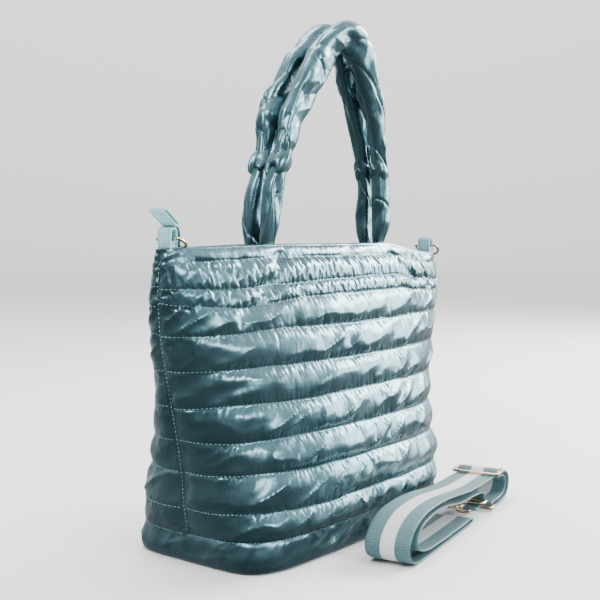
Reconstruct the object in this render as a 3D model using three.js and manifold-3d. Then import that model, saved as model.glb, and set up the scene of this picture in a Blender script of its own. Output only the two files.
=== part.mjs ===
// A quilted, padded tote bag with two knotted fabric handles, a leather loop with a D-ring at
// each end of its top edge, a leather zipper end tab, and its detached webbing strap lying
// folded in front. Millimetres, +Z up. The bag's long axis is X and its front faces -Y.
// The origin is on the floor, under the bag.
import * as THREE from "three";
import { mergeVertices } from "three/addons/utils/BufferGeometryUtils.js";
import Module from "manifold-3d";

// Clearance between pieces that touch
const touch = 0.3;

// Bag body
const rimHeight = 285;
const rimLength = 458;
const rimDepth = 34;
const rimShift = 16;
const rimDropLeft = 2;
const rimDropRight = 11;
const baseLength = 330;
const baseDepth = 176;
const baseShift = -14;
const baseInset = 22;
const wall = 4.5;
const rimEndSeam = 18;
const lowerEndSeam = 9;
const floorThickness = 8;
const seamValley = 4.5;
const ruffleDepth = 1.8;
const ruffleCount = 14;
const bodyColumns = 56;

// Sections up the bag. height is a share of rimHeight. length, depth and shift are shares of
// the way from the base's size to the rim's. squareness is the superellipse's exponent.
const sections = [
  { height: 0.095, length: 0.0, depth: 0.0, shift: 0.0, squareness: 4.4 },
  { height: 0.182, length: 0.12, depth: 0.0, shift: 0.04, squareness: 3.6 },
  { height: 0.298, length: 0.22, depth: 0.06, shift: 0.17, squareness: 2.9 },
  { height: 0.4, length: 0.35, depth: 0.16, shift: 0.27, squareness: 2.6 },
  { height: 0.509, length: 0.54, depth: 0.27, shift: 0.45, squareness: 2.4 },
  { height: 0.621, length: 0.72, depth: 0.38, shift: 0.6, squareness: 2.3 },
  { height: 0.733, length: 0.88, depth: 0.5, shift: 0.73, squareness: 2.3 },
  { height: 0.828, length: 0.97, depth: 0.64, shift: 0.87, squareness: 2.4 },
  { height: 0.884, length: 1.0, depth: 0.74, shift: 0.92, squareness: 2.5 },
  { height: 0.961, length: 1.0, depth: 0.91, shift: 1.0, squareness: 2.9 },
  { height: 1.0, length: 1.0, depth: 1.0, shift: 1.0, squareness: 3.2 },
];

// Stitch lines from the hem up, as shares of rimHeight, with how far the padding between
// this line and the next stands out.
const stitchLines = [
  { height: 0.095, puff: 8 },
  { height: 0.182, puff: 9 },
  { height: 0.298, puff: 8.5 },
  { height: 0.4, puff: 8.5 },
  { height: 0.509, puff: 8.5 },
  { height: 0.621, puff: 8.5 },
  { height: 0.733, puff: 7.5 },
  { height: 0.828, puff: 4.5 },
  { height: 0.884, puff: 6 },
  { height: 0.961, puff: 2 },
  { height: 1.0, puff: 0 },
];
const channelShares = [0, 0.28, 0.72];
const ruffledLine = 0.884;

// The roll below the hem. height is a share of the hem's height, inset of baseInset.
const hemRoll = [
  { height: 0, inset: 1 },
  { height: 0.1, inset: 0.42 },
  { height: 0.36, inset: -0.02 },
  { height: 0.68, inset: -0.2 },
];

// Drag folds in the front panel. x is a share of half the rim's length from the rim's middle,
// z a share of rimHeight.
const dragFolds = [
  { x0: -0.4, z0: 0.97, x1: -0.5, z1: 0.89, depth: 5, width: 11 },
  { x0: -0.5, z0: 0.89, x1: -0.68, z1: 0.79, depth: 6, width: 11 },
  { x0: 0.46, z0: 0.96, x1: 0.62, z1: 0.88, depth: 4, width: 11 },
  { x0: -0.86, z0: 0.95, x1: -0.66, z1: 0.9, depth: 3, width: 9 },
];

// Handles
const handleSpacing = 194;
const handleCentre = 20;
const handleDrop = 218;
const handleTail = 20;
const legDepthInMouth = 6;
const handleSides = 10;
const knotRadius = 9;
const knotFabric = 6.6;
const knotFlattening = 0.78;
const handleGap = 1;

// The handle's middle line and section. x is a share of half the leg spacing, z of the drop.
// width is across the band in the bag's length, depth across it from front to back.
const handleStations = [
  { x: -1.0, z: 0.05, width: 17, depth: 11 },
  { x: -0.98, z: 0.13, width: 19, depth: 13 },
  { x: -0.93, z: 0.24, width: 18, depth: 13 },
  { x: -0.87, z: 0.32, width: 14, depth: 12 },
  { x: -0.83, z: 0.37, width: 14, depth: 12 },
  { x: -0.76, z: 0.45, width: 19, depth: 13 },
  { x: -0.67, z: 0.54, width: 26, depth: 15 },
  { x: -0.52, z: 0.65, width: 28, depth: 16 },
  { x: -0.3, z: 0.79, width: 27, depth: 16 },
  { x: -0.04, z: 0.91, width: 26, depth: 15 },
  { x: 0.2, z: 0.985, width: 25, depth: 15 },
  { x: 0.42, z: 0.99, width: 26, depth: 15 },
  { x: 0.6, z: 0.92, width: 27, depth: 15 },
  { x: 0.73, z: 0.79, width: 23, depth: 15 },
  { x: 0.85, z: 0.65, width: 22, depth: 15 },
  { x: 0.93, z: 0.54, width: 19, depth: 14 },
  { x: 0.97, z: 0.45, width: 15, depth: 12 },
  { x: 0.99, z: 0.37, width: 14, depth: 12 },
  { x: 1.0, z: 0.3, width: 15, depth: 12 },
  { x: 1.02, z: 0.2, width: 20, depth: 13 },
  { x: 1.01, z: 0.11, width: 19, depth: 13 },
  { x: 1.0, z: 0.05, width: 17, depth: 11 },
];
const knots = [
  { x: -0.85, z: 0.35, lean: 0.55 },
  { x: -0.8, z: 0.395, lean: -0.5 },
  { x: 0.99, z: 0.335, lean: -0.45 },
  { x: 0.98, z: 0.385, lean: 0.5 },
];

// Zipper tape round the mouth, with its end turned up into the end tab
const tapeThickness = 1.2;
const tapeHeight = 22;
const tapeBelowRim = 1.5;
const tongueWidth = 13;
const tabLength = 27;
const tabWidth = 18;
const tabLeather = 1.6;
const tabSlope = THREE.MathUtils.degToRad(39);
const tabAboveLoop = 0.6;

// Leather side loops
const loopWidth = 16;
const loopHeight = 19;
const loopLeather = 2.2;
const loopTunnel = 5;
const loopFoot = 7;
const loopInset = 7;

// D-rings
const ringWire = 3;
const ringWidth = 25;
const ringArm = 4;
const ringSides = 8;
const ringRestLeft = THREE.MathUtils.degToRad(23);
const ringRestRight = THREE.MathUtils.degToRad(36);

// Shoulder strap
const strapWidth = 44;
const strapThickness = 1.6;
const strapRun = 290;
const strapHeight = 38;
const strapAngle = THREE.MathUtils.degToRad(9);
const strapStart = -76;
const strapFromBag = 82;
const fittingWire = 3.5;
const fittingPlay = 0.6;
const slidePlate = 3;
const slideBar = 4;
const slideSlot = 9;
const slideAt = 0.862;
const slideRise = 36.5;
const claspRing = 12;
const claspPost = 5;
const claspHook = 22;
const claspHookWidth = 15;
const claspAAt = 0.7;
const claspARise = 15.5;
const claspBAt = 0.8;
const foldEnd = 24;

// Colours read from the photograph
const materials = {
  nylon: new THREE.MeshStandardMaterial({ color: 0x6d9aa6, roughness: 0.3, metalness: 0.6 }),
  leather: new THREE.MeshStandardMaterial({ color: 0x8cc3c8, roughness: 0.55, metalness: 0 }),
  tape: new THREE.MeshStandardMaterial({ color: 0x4d7580, roughness: 0.8, metalness: 0 }),
  webbing: new THREE.MeshStandardMaterial({ color: 0x5a8c91, roughness: 0.7, metalness: 0 }),
  gold: new THREE.MeshStandardMaterial({ color: 0xc79a6b, roughness: 0.25, metalness: 1 }),
};

const wasm = await Module();
wasm.setup();

const { lerp, smoothstep } = THREE.MathUtils;
const signedPower = (value, power) => Math.sign(value) * Math.abs(value) ** power;

// A closed body from a list of rings of points. The first and last rings are capped, or
// joined to each other when the rings go round.
function loft(rings, goesRound = false) {
  const count = rings[0].length;
  const points = rings.flat();
  const triangles = [];
  const spans = goesRound ? rings.length : rings.length - 1;
  for (let i = 0; i < spans; i++) {
    const next = (i + 1) % rings.length;
    for (let j = 0; j < count; j++) {
      const k = (j + 1) % count;
      const [a, b] = [i * count + j, i * count + k];
      const [c, d] = [next * count + j, next * count + k];
      triangles.push([a, b, d], [a, d, c]);
    }
  }
  if (!goesRound) {
    for (const [ring, start, turned] of [
      [rings[0], 0, true],
      [rings.at(-1), (rings.length - 1) * count, false],
    ]) {
      const middle = points.length;
      const sum = ring.reduce((total, point) => total.add(point), new THREE.Vector3());
      points.push(sum.divideScalar(count));
      for (let j = 0; j < count; j++) {
        const k = (j + 1) % count;
        triangles.push(turned ? [start + k, start + j, middle] : [start + j, start + k, middle]);
      }
    }
  }
  const volume = triangles.reduce(
    (total, [a, b, c]) => total + points[a].dot(points[b].clone().cross(points[c])), 0);
  const facing = volume > 0 ? triangles : triangles.map(([a, b, c]) => [a, c, b]);
  const geometry = new THREE.BufferGeometry().setFromPoints(points);
  geometry.setIndex(facing.flat());
  return geometry;
}

// Boolean joins of closed geometries
function solidOf(geometry) {
  const bare = geometry.index ? geometry.clone() : geometry;
  bare.deleteAttribute("normal");
  bare.deleteAttribute("uv");
  const merged = mergeVertices(bare, 1e-4);
  return new wasm.Manifold(new wasm.Mesh({
    numProp: 3,
    vertProperties: Float32Array.from(merged.attributes.position.array),
    triVerts: Uint32Array.from(merged.index.array),
  }));
}

function geometryOf(solid) {
  const mesh = solid.getMesh();
  const geometry = new THREE.BufferGeometry();
  geometry.setAttribute("position", new THREE.BufferAttribute(mesh.vertProperties, 3));
  geometry.setIndex(new THREE.BufferAttribute(mesh.triVerts, 1));
  return geometry;
}

function joined(geometries) {
  const [first, ...rest] = geometries.map(solidOf);
  return geometryOf(rest.reduce((total, solid) => total.add(solid), first));
}

function cutFrom(geometry, tools) {
  return geometryOf(tools.map(solidOf).reduce((rest, tool) => rest.subtract(tool), solidOf(geometry)));
}

// Section of the bag at a share of its height
function sectionAt(height) {
  const above = sections.findIndex((row) => row.height >= height);
  if (above <= 0) return above === 0 ? { ...sections[0] } : { ...sections.at(-1) };
  const [low, high] = [sections[above - 1], sections[above]];
  const share = (height - low.height) / (high.height - low.height);
  const row = {};
  for (const key of Object.keys(low)) row[key] = lerp(low[key], high[key], share);
  return row;
}

function halfSizes(height) {
  const row = sectionAt(height);
  return {
    length: lerp(baseLength, rimLength, row.length) / 2,
    depth: lerp(baseDepth, rimDepth, row.depth) / 2,
    middle: lerp(baseShift, rimShift, row.shift),
    squareness: row.squareness,
  };
}

// How much the top edge drops towards its ends
function rimDropAt(x) {
  const share = (x - rimShift) / (rimLength / 2);
  const drop = share < 0 ? rimDropLeft : rimDropRight;
  return drop * smoothstep(Math.abs(share), 0.42, 0.88);
}

const rimTopAt = (x) => rimHeight - rimDropAt(x);

function heightAt(share, x) {
  return rimHeight * share - rimDropAt(x) * smoothstep(share, 0.7, 1);
}

// A point on a superellipse with its outward direction
function onSection(angle, length, depth, squareness) {
  const [cos, sin] = [Math.cos(angle), Math.sin(angle)];
  const reach = (Math.abs(cos) ** squareness + Math.abs(sin) ** squareness) ** (1 / squareness);
  const [u, v] = [cos / reach, sin / reach];
  const out = new THREE.Vector2(
    signedPower(u, squareness - 1) / length,
    signedPower(v, squareness - 1) / depth,
  ).normalize();
  return { x: u * length, y: v * depth, out };
}

function foldDepth(x, y, z) {
  if (y > 0) return 0;
  let total = 0;
  for (const fold of dragFolds) {
    const start = new THREE.Vector2(rimShift + (fold.x0 * rimLength) / 2, fold.z0 * rimHeight);
    const end = new THREE.Vector2(rimShift + (fold.x1 * rimLength) / 2, fold.z1 * rimHeight);
    const along = end.clone().sub(start);
    const point = new THREE.Vector2(x, z);
    const share = THREE.MathUtils.clamp(
      point.clone().sub(start).dot(along) / along.lengthSq(), 0, 1);
    const distance = point.distanceTo(start.addScaledVector(along, share));
    total += fold.depth * Math.exp(-((distance / fold.width) ** 2));
  }
  return total;
}

const columnAngles = Array.from({ length: bodyColumns }, (_, i) => (i / bodyColumns) * 2 * Math.PI);

function outerRing(height, puff, ruffle) {
  const size = halfSizes(height);
  return columnAngles.map((angle) => {
    const point = onSection(angle, size.length, size.depth, size.squareness);
    const x = point.x + size.middle;
    const toSeam = Math.abs(Math.sin(angle));
    const seam = height < 1 ? seamValley * Math.exp(-((toSeam / 0.16) ** 2)) : 0;
    const wave = ruffle * Math.sin(ruffleCount * angle);
    const fold = puff > 0 ? foldDepth(x, point.y, height * rimHeight) : 0;
    const proud = puff + wave - seam - fold;
    return new THREE.Vector3(
      x + point.out.x * proud,
      point.y + point.out.y * proud,
      heightAt(height, x),
    );
  });
}

function hemRing(row) {
  const size = halfSizes(stitchLines[0].height);
  const inset = row.inset * baseInset;
  return columnAngles.map((angle) => {
    const point = onSection(angle, size.length - inset, size.depth - inset, size.squareness);
    return new THREE.Vector3(
      point.x + size.middle,
      point.y,
      row.height * stitchLines[0].height * rimHeight,
    );
  });
}

function innerHalfSizes(height) {
  const size = halfSizes(height);
  const towardsRim = smoothstep(height, 0.8, 1);
  return {
    length: size.length - lerp(lowerEndSeam, rimEndSeam, towardsRim),
    depth: size.depth - wall,
    middle: size.middle,
    squareness: lerp(size.squareness, 6, towardsRim),
  };
}

function innerRing(height, inwards = 0) {
  const size = innerHalfSizes(height);
  const [length, depth] = [size.length - inwards, size.depth - inwards];
  return columnAngles.map((angle) => {
    const point = onSection(angle, length, depth, size.squareness);
    const x = point.x + size.middle;
    return new THREE.Vector3(x, point.y, heightAt(height, x));
  });
}

function bagBody() {
  const rings = hemRoll.map(hemRing);
  stitchLines.forEach((line, i) => {
    const next = stitchLines[i + 1];
    if (!next) {
      rings.push(outerRing(line.height, 0, 0));
      return;
    }
    for (const share of channelShares) {
      const puff = share === 0 ? 0 : line.puff;
      const ruffle = share > 0 && line.height === ruffledLine ? ruffleDepth : 0;
      rings.push(outerRing(lerp(line.height, next.height, share), puff, ruffle));
    }
  });
  for (const height of [1, 0.961, 0.884, 0.733, 0.509, 0.298, 0.13]) {
    rings.push(innerRing(height));
  }
  rings.push(innerRing(0.13, baseInset).map((point) => point.setZ(floorThickness)));
  return loft(rings);
}

// A handle, with its knots fused to it. side is -1 for the front panel and 1 for the back.
function handle(side) {
  const innerWall = innerHalfSizes(1).depth - touch - tapeThickness - touch;
  const tailY = innerWall - legDepthInMouth / 2;
  const foot = (end) => [
    { x: end, z: -handleTail / handleDrop, width: 16, depth: legDepthInMouth, y: tailY },
    { x: end, z: 0.006, width: 16, depth: legDepthInMouth, y: tailY },
  ];
  const path = handleStations.map((row) => ({ ...row, y: (row.depth + handleGap) / 2 + 4 }));
  const rows = [...foot(-1), ...path, ...foot(1).reverse()];
  const centres = rows.map((row) => new THREE.Vector3(
    handleCentre + (row.x * handleSpacing) / 2,
    side * row.y,
    rimHeight + row.z * handleDrop,
  ));
  const across = new THREE.Vector3(0, 1, 0);
  const rings = centres.map((centre, i) => {
    const before = centres[Math.max(i - 1, 0)];
    const after = centres[Math.min(i + 1, centres.length - 1)];
    const onFoot = i < 2 || i > centres.length - 3;
    const along = onFoot
      ? new THREE.Vector3(0, 0, i < 2 ? 1 : -1)
      : after.clone().sub(before).setY(0).normalize();
    const sideways = new THREE.Vector3().crossVectors(across, along);
    return Array.from({ length: handleSides }, (_, j) => {
      const point = onSection(
        ((j + 0.5) / handleSides) * 2 * Math.PI, rows[i].width / 2, rows[i].depth / 2, 2.6);
      return centre.clone().addScaledVector(sideways, point.x).addScaledVector(across, point.y);
    });
  });
  const lumps = knots.map((knot) => {
    const wrap = new THREE.TorusGeometry(knotRadius, knotFabric, 8, 14);
    wrap.rotateY(knot.lean);
    wrap.scale(1, knotFlattening, 1);
    const depth = (knotRadius + knotFabric) * knotFlattening;
    wrap.translate(
      handleCentre + (knot.x * handleSpacing) / 2,
      side * (depth + handleGap),
      rimHeight + knot.z * handleDrop,
    );
    return wrap;
  });
  return joined([loft(rings), ...lumps]);
}

// Zipper tape: a band round the inside of the mouth, open at the right end, and a tongue
// that rises through the left D-ring and leans out over the left loop.
const loopOuter = loopLeather + loopTunnel / 2;
const rimEnd = { left: rimShift - rimLength / 2, right: rimShift + rimLength / 2 };
const loopMiddle = {
  left: rimEnd.left + loopInset + loopOuter,
  right: rimEnd.right - loopInset - loopOuter,
};
const loopBase = {
  left: rimTopAt(loopMiddle.left) + touch,
  right: rimTopAt(loopMiddle.right) + touch,
};
const mouthEnd = rimEnd.left + rimEndSeam;
const tongueX = mouthEnd + touch + 1.6 * tapeThickness;
const tabHalf = tapeThickness / 2 + touch + tabLeather;
const tongueBend = loopBase.left + loopHeight - loopOuter
  + (loopOuter + tabHalf + tabAboveLoop - (tongueX - loopMiddle.left) * Math.sin(tabSlope))
  / Math.cos(tabSlope);

function zipperTape() {
  const openColumns = 3;
  const inside = (inwards) => innerRing(1, inwards);
  const [outside, inner] = [inside(touch), inside(touch + tapeThickness)];
  const rings = [];
  for (let i = openColumns; i <= bodyColumns - openColumns; i++) {
    const top = (point) => new THREE.Vector3(point.x, point.y, rimTopAt(point.x) - tapeBelowRim);
    const bottom = (point) => top(point).setZ(top(point).z - tapeHeight);
    rings.push([top(outside[i]), top(inner[i]), bottom(inner[i]), bottom(outside[i])]);
  }
  const low = rimTopAt(mouthEnd) - tapeBelowRim - tapeHeight;
  const half = tapeThickness / 2;
  const [cos, sin] = [Math.cos(tabSlope), Math.sin(tabSlope)];
  const reach = tabLength - 2 * tabLeather - touch;
  const [bendX, bendZ] = [tongueX, tongueBend];
  const tip = new THREE.Vector2(bendX - reach * cos, bendZ + reach * sin);
  const shape = new THREE.Shape([
    new THREE.Vector2(bendX - half, low),
    new THREE.Vector2(bendX + half, low),
    new THREE.Vector2(bendX + half, bendZ + half * 0.7),
    new THREE.Vector2(tip.x + half * sin, tip.y + half * cos),
    new THREE.Vector2(tip.x - half * sin, tip.y - half * cos),
    new THREE.Vector2(bendX - half, bendZ - half * 0.7),
  ]);
  const tongue = new THREE.ExtrudeGeometry(shape, { depth: tongueWidth, bevelEnabled: false });
  tongue.rotateX(Math.PI / 2);
  tongue.translate(0, tongueWidth / 2, 0);
  return joined([loft(rings), tongue]);
}

// The end tab: leather folded over the end of the tongue
function zipperEndTab() {
  const slot = tapeThickness / 2 + touch;
  const outer = tabHalf;
  const end = tabLength;
  const start = 5;
  const shape = new THREE.Shape();
  shape.moveTo(start, slot);
  shape.lineTo(start, outer);
  shape.lineTo(end - outer, outer);
  shape.absarc(end - outer, 0, outer, Math.PI / 2, -Math.PI / 2, true);
  shape.lineTo(start, -outer);
  shape.lineTo(start, -slot);
  shape.lineTo(end - tabLeather, -slot);
  shape.lineTo(end - tabLeather, slot);
  const tab = new THREE.ExtrudeGeometry(
    shape, { depth: tabWidth, bevelEnabled: false, curveSegments: 5 });
  tab.rotateX(Math.PI / 2);
  tab.translate(0, tabWidth / 2, 0);
  tab.rotateY(tabSlope - Math.PI);
  tab.translate(tongueX, 0, tongueBend);
  return tab;
}

// A leather strip folded over the D-ring's bar and sewn together below it
function sideLoop() {
  const outer = loopOuter;
  const crown = loopHeight - outer;
  const shape = new THREE.Shape();
  shape.moveTo(-outer, 0);
  shape.lineTo(outer, 0);
  shape.lineTo(outer, crown);
  shape.absarc(0, crown, outer, 0, Math.PI, false);
  const tunnel = new THREE.Path();
  tunnel.moveTo(-loopTunnel / 2, loopFoot);
  tunnel.lineTo(-loopTunnel / 2, crown);
  tunnel.absarc(0, crown, loopTunnel / 2, Math.PI, 0, true);
  tunnel.lineTo(loopTunnel / 2, loopFoot);
  shape.holes.push(tunnel);
  const loop = new THREE.ExtrudeGeometry(
    shape, { depth: loopWidth, bevelEnabled: false, curveSegments: 8 });
  loop.rotateX(Math.PI / 2);
  loop.translate(0, loopWidth / 2, 0);
  return loop;
}

// A round wire along a closed flat path in the XY plane, mitred at its corners
function closedWire(path, radius, sides) {
  const rings = path.map((point, i) => {
    const before = path.at(i - 1);
    const after = path[(i + 1) % path.length];
    const into = point.clone().sub(before).normalize();
    const onwards = after.clone().sub(point).normalize();
    const along = into.clone().add(onwards).normalize();
    const stretch = 1 / Math.max(into.dot(along), 0.5);
    return Array.from({ length: sides }, (_, j) => {
      const angle = ((j + 0.5) / sides) * 2 * Math.PI;
      const sideways = Math.cos(angle) * radius * stretch;
      return new THREE.Vector3(
        point.x - along.y * sideways, point.y + along.x * sideways, Math.sin(angle) * radius);
    });
  });
  return loft(rings, true);
}

// The ring's straight bar lies along Y through the origin, and its curve reaches towards +X
function dRing() {
  const half = (ringWidth + ringWire) / 2;
  const path = [new THREE.Vector2(0, half), new THREE.Vector2(0, -half)];
  const steps = 10;
  for (let i = 0; i <= steps; i++) {
    const angle = -Math.PI / 2 + (i / steps) * Math.PI;
    path.push(new THREE.Vector2(ringArm + half * Math.cos(angle), half * Math.sin(angle)));
  }
  return closedWire(path, ringWire / 2, ringSides);
}

// Shoulder strap. The webbing's middle line in its own upright plane: s along the strap's
// bundle, z up. Both turns at the near end and the one at the far end are open bends.
const half = strapThickness / 2;
const floorLayer = half + 0.1;
const foldRadius = fittingWire / 2 + touch + half;
const underSlide = slideRise - slidePlate / 2 - touch - half;
const overSlide = slideRise + slidePlate / 2 + touch + half;
const slideS = slideAt * strapRun;
const claspA = { s: claspAAt * strapRun, z: claspARise };
const claspB = { s: claspBAt * strapRun, z: floorLayer + foldRadius };

function foldPoints(bar, startAngle, endAngle) {
  return Array.from({ length: 5 }, (_, i) => {
    const angle = lerp(startAngle, endAngle, i / 4);
    return [bar.s + foldRadius * Math.cos(angle), bar.z + foldRadius * Math.sin(angle)];
  });
}

// Rows of an open run: s as a share of strapRun, z as a share of strapHeight
const run = (rows) => rows.map(([s, z]) => [s * strapRun, z * strapHeight]);

function strapRoute() {
  const quarter = Math.PI / 2;
  const slideEdge = slideBar / 2 + slideSlot;
  const sewnEnd = [[slideS, underSlide - 3.4], [slideS + slideEdge, underSlide - 3.6]];
  const innerFarBend = run([[0.945, 0.72], [0.963, 0.5], [0.94, 0.27], [0.9, 0.2]]);
  const atClaspB = foldPoints(claspB, quarter, 3 * quarter);
  const outerFarBend = run([
    [0.83, 0.024], [0.9, 0.03], [0.965, 0.13], [0.995, 0.35], [1.0, 0.58], [0.978, 0.78]]);
  const throughSlide = [
    [slideS + slideEdge + 5, underSlide + 0.1],
    [slideS + slideEdge - 1.2, underSlide],
    [slideS + slideBar / 2 + 1, overSlide - 0.5],
    [slideS, overSlide],
    [slideS - slideBar / 2 - 1, overSlide - 0.5],
    [slideS - slideEdge + 1.2, underSlide],
    [slideS - slideEdge - 5, underSlide - 0.1],
  ];
  const topRun = run([
    [0.75, 0.9], [0.64, 0.9], [0.53, 0.95], [0.42, 1.04], [0.31, 1.12], [0.2, 1.14], [0.1, 1.06]]);
  const outerNearBend = run([
    [0.035, 0.86], [0.004, 0.6], [0.002, 0.36], [0.03, 0.14], [0.08, 0.03]]);
  const floorRun = run([[0.16, 0.024], [0.3, 0.024], [0.44, 0.024], [0.54, 0.024]]);
  const lowerFold = run([[0.572, 0.05], [0.582, 0.1], [0.568, 0.155]]);
  const innerRun = run([[0.5, 0.15], [0.4, 0.15], [0.3, 0.15], [0.2, 0.17]]);
  const innerNearBend = run([
    [0.115, 0.24], [0.066, 0.42], [0.062, 0.63], [0.1, 0.84], [0.17, 0.95]]);
  const secondRun = run([[0.26, 0.98], [0.36, 0.9], [0.46, 0.78], [0.56, 0.74], [0.65, 0.7]]);
  const toClaspA = [[claspA.s + 1, claspA.z + 7.5]];
  const atClaspA = foldPoints(claspA, 0.35 * quarter, -quarter);
  const sewnBack = [
    [claspA.s - 6, claspA.z - foldRadius], [claspA.s - foldEnd, claspA.z - foldRadius - 1.5]];
  return [
    ...sewnEnd, ...innerFarBend, ...atClaspB, ...outerFarBend, ...throughSlide, ...topRun,
    ...outerNearBend, ...floorRun, ...lowerFold, ...innerRun, ...innerNearBend, ...secondRun,
    ...toClaspA, ...atClaspA, ...sewnBack,
  ];
}

function webbing() {
  const route = strapRoute().map(([s, z]) => new THREE.Vector3(s, 0, z));
  const curve = new THREE.CatmullRomCurve3(route, false, "centripetal");
  const perSpan = 2;
  const steps = (route.length - 1) * perSpan;
  const rings = [];
  for (let i = 0; i <= steps; i++) {
    const point = curve.getPoint(i / steps);
    const along = curve.getTangent(i / steps);
    const up = new THREE.Vector3(-along.z, 0, along.x).multiplyScalar(half);
    const rise = Math.max(point.z, floorLayer);
    rings.push([[1, 0], [1, strapWidth], [-1, strapWidth], [-1, 0]].map(([sign, across]) =>
      new THREE.Vector3(point.x + sign * up.x, across, rise + sign * up.z)));
  }
  return loft(rings);
}

const fittingHalfWidth = strapWidth / 2 + fittingPlay;

// The slide: a flat frame with a middle bar
function slide() {
  const halfLength = slideBar * 1.5 + slideSlot;
  const halfWidth = fittingHalfWidth + slideBar;
  const rounding = 2;
  const shape = new THREE.Shape();
  shape.moveTo(-halfLength + rounding, -halfWidth);
  shape.lineTo(halfLength - rounding, -halfWidth);
  shape.quadraticCurveTo(halfLength, -halfWidth, halfLength, -halfWidth + rounding);
  shape.lineTo(halfLength, halfWidth - rounding);
  shape.quadraticCurveTo(halfLength, halfWidth, halfLength - rounding, halfWidth);
  shape.lineTo(-halfLength + rounding, halfWidth);
  shape.quadraticCurveTo(-halfLength, halfWidth, -halfLength, halfWidth - rounding);
  shape.lineTo(-halfLength, -halfWidth + rounding);
  shape.quadraticCurveTo(-halfLength, -halfWidth, -halfLength + rounding, -halfWidth);
  const plate = new THREE.ExtrudeGeometry(
    shape, { depth: slidePlate, bevelEnabled: false, curveSegments: 3 });
  plate.translate(0, 0, -slidePlate / 2);
  const slots = [-1, 1].map((side) => {
    const slot = new THREE.BoxGeometry(slideSlot, 2 * fittingHalfWidth, 2 * slidePlate);
    return slot.translate((side * (slideBar + slideSlot)) / 2, 0, 0);
  });
  return cutFrom(plate, slots);
}

// A plain snap hook: a rectangular ring for the webbing, a post and a closed hook, in one
// piece. The webbing's bar lies along Y through the origin, and the hook reaches towards -X.
function clasp() {
  const radius = fittingWire / 2;
  const halfWidth = fittingHalfWidth + radius;
  const frame = closedWire([
    new THREE.Vector2(0, -halfWidth),
    new THREE.Vector2(0, halfWidth),
    new THREE.Vector2(-claspRing, halfWidth),
    new THREE.Vector2(-claspRing, -halfWidth),
  ], radius, 6);
  const post = new THREE.CylinderGeometry(radius * 1.3, radius * 1.3, claspPost + fittingWire, 8);
  post.rotateZ(Math.PI / 2);
  post.translate(-claspRing - (claspPost + fittingWire) / 2, 0, 0);
  const hookMiddle = -claspRing - claspPost - claspHook / 2;
  const hookPath = Array.from({ length: 12 }, (_, i) => {
    const angle = (i / 12) * 2 * Math.PI;
    return new THREE.Vector2(
      hookMiddle + (claspHook / 2) * Math.cos(angle), (claspHookWidth / 2) * Math.sin(angle));
  });
  return joined([frame, post, closedWire(hookPath, radius, 6)]);
}

// Assembly
const bag = new THREE.Group();

function add(parent, name, geometry, material) {
  const mesh = new THREE.Mesh(geometry, materials[material]);
  mesh.name = name;
  parent.add(mesh);
  return mesh;
}

add(bag, "bag_body", bagBody(), "nylon");
add(bag, "handle_front", handle(-1), "nylon");
add(bag, "handle_rear", handle(1), "nylon");
add(bag, "zipper_tape", zipperTape(), "tape");
add(bag, "zipper_end_tab", zipperEndTab(), "leather");
for (const end of ["left", "right"]) {
  const loop = add(bag, `side_loop_${end}`, sideLoop(), "leather");
  loop.position.set(loopMiddle[end], 0, loopBase[end]);
  const ring = add(bag, `d_ring_${end}`, dRing(), "gold");
  const barRise = loopFoot + touch + ringWire / 2;
  ring.position.set(loopMiddle[end], 0, loopBase[end] + barRise);
  ring.rotation.y = end === "left" ? ringRestLeft : ringRestRight;
}

const strap = new THREE.Group();
strap.position.set(strapStart, -baseDepth / 2 - strapFromBag, 0);
strap.rotation.z = strapAngle;
bag.add(strap);
add(strap, "strap_webbing", webbing(), "webbing");
add(strap, "strap_slide", slide(), "gold").position.set(slideS, strapWidth / 2, slideRise);
add(strap, "strap_clasp_a", clasp(), "gold").position.set(claspA.s, strapWidth / 2, claspA.z);
add(strap, "strap_clasp_b", clasp(), "gold").position.set(claspB.s, strapWidth / 2, claspB.z);

export default bag;
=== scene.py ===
# A quilted metallic tote bag with knotted handles and a folded striped strap, dressed
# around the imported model. Shapes are worked out in millimetres and made in metres.
import math

import bmesh
import bpy
import mathutils
import numpy as np
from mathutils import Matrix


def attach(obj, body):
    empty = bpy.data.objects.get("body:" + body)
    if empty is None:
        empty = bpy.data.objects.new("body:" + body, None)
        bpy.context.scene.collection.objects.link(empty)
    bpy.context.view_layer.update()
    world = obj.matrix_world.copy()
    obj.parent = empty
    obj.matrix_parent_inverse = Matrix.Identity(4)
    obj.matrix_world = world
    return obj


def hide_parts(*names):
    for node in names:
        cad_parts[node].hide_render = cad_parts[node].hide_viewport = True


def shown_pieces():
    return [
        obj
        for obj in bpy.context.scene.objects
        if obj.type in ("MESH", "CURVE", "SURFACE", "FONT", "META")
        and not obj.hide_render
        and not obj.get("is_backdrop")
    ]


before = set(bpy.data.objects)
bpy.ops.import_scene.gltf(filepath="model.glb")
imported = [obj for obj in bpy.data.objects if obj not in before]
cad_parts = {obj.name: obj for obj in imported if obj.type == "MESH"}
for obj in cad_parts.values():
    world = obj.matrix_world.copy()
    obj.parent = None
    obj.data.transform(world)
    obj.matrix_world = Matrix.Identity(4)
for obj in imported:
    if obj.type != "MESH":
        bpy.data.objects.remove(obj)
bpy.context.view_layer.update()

MM = 0.001
SLOT_OF = {}
SEAMS = {}

# Bag body, as the model has it
RIM_HEIGHT = 285
RIM_LENGTH = 458
RIM_DEPTH = 34
RIM_SHIFT = 16
RIM_DROP_LEFT = 2
RIM_DROP_RIGHT = 11
BASE_LENGTH = 330
BASE_DEPTH = 176
BASE_SHIFT = -14
BASE_INSET = 22
WALL = 4.5
RIM_END_SEAM = 18
LOWER_END_SEAM = 9
INNER_SQUARENESS = 6
FLOOR_THICKNESS = 8
TOUCH = 0.3

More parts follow.
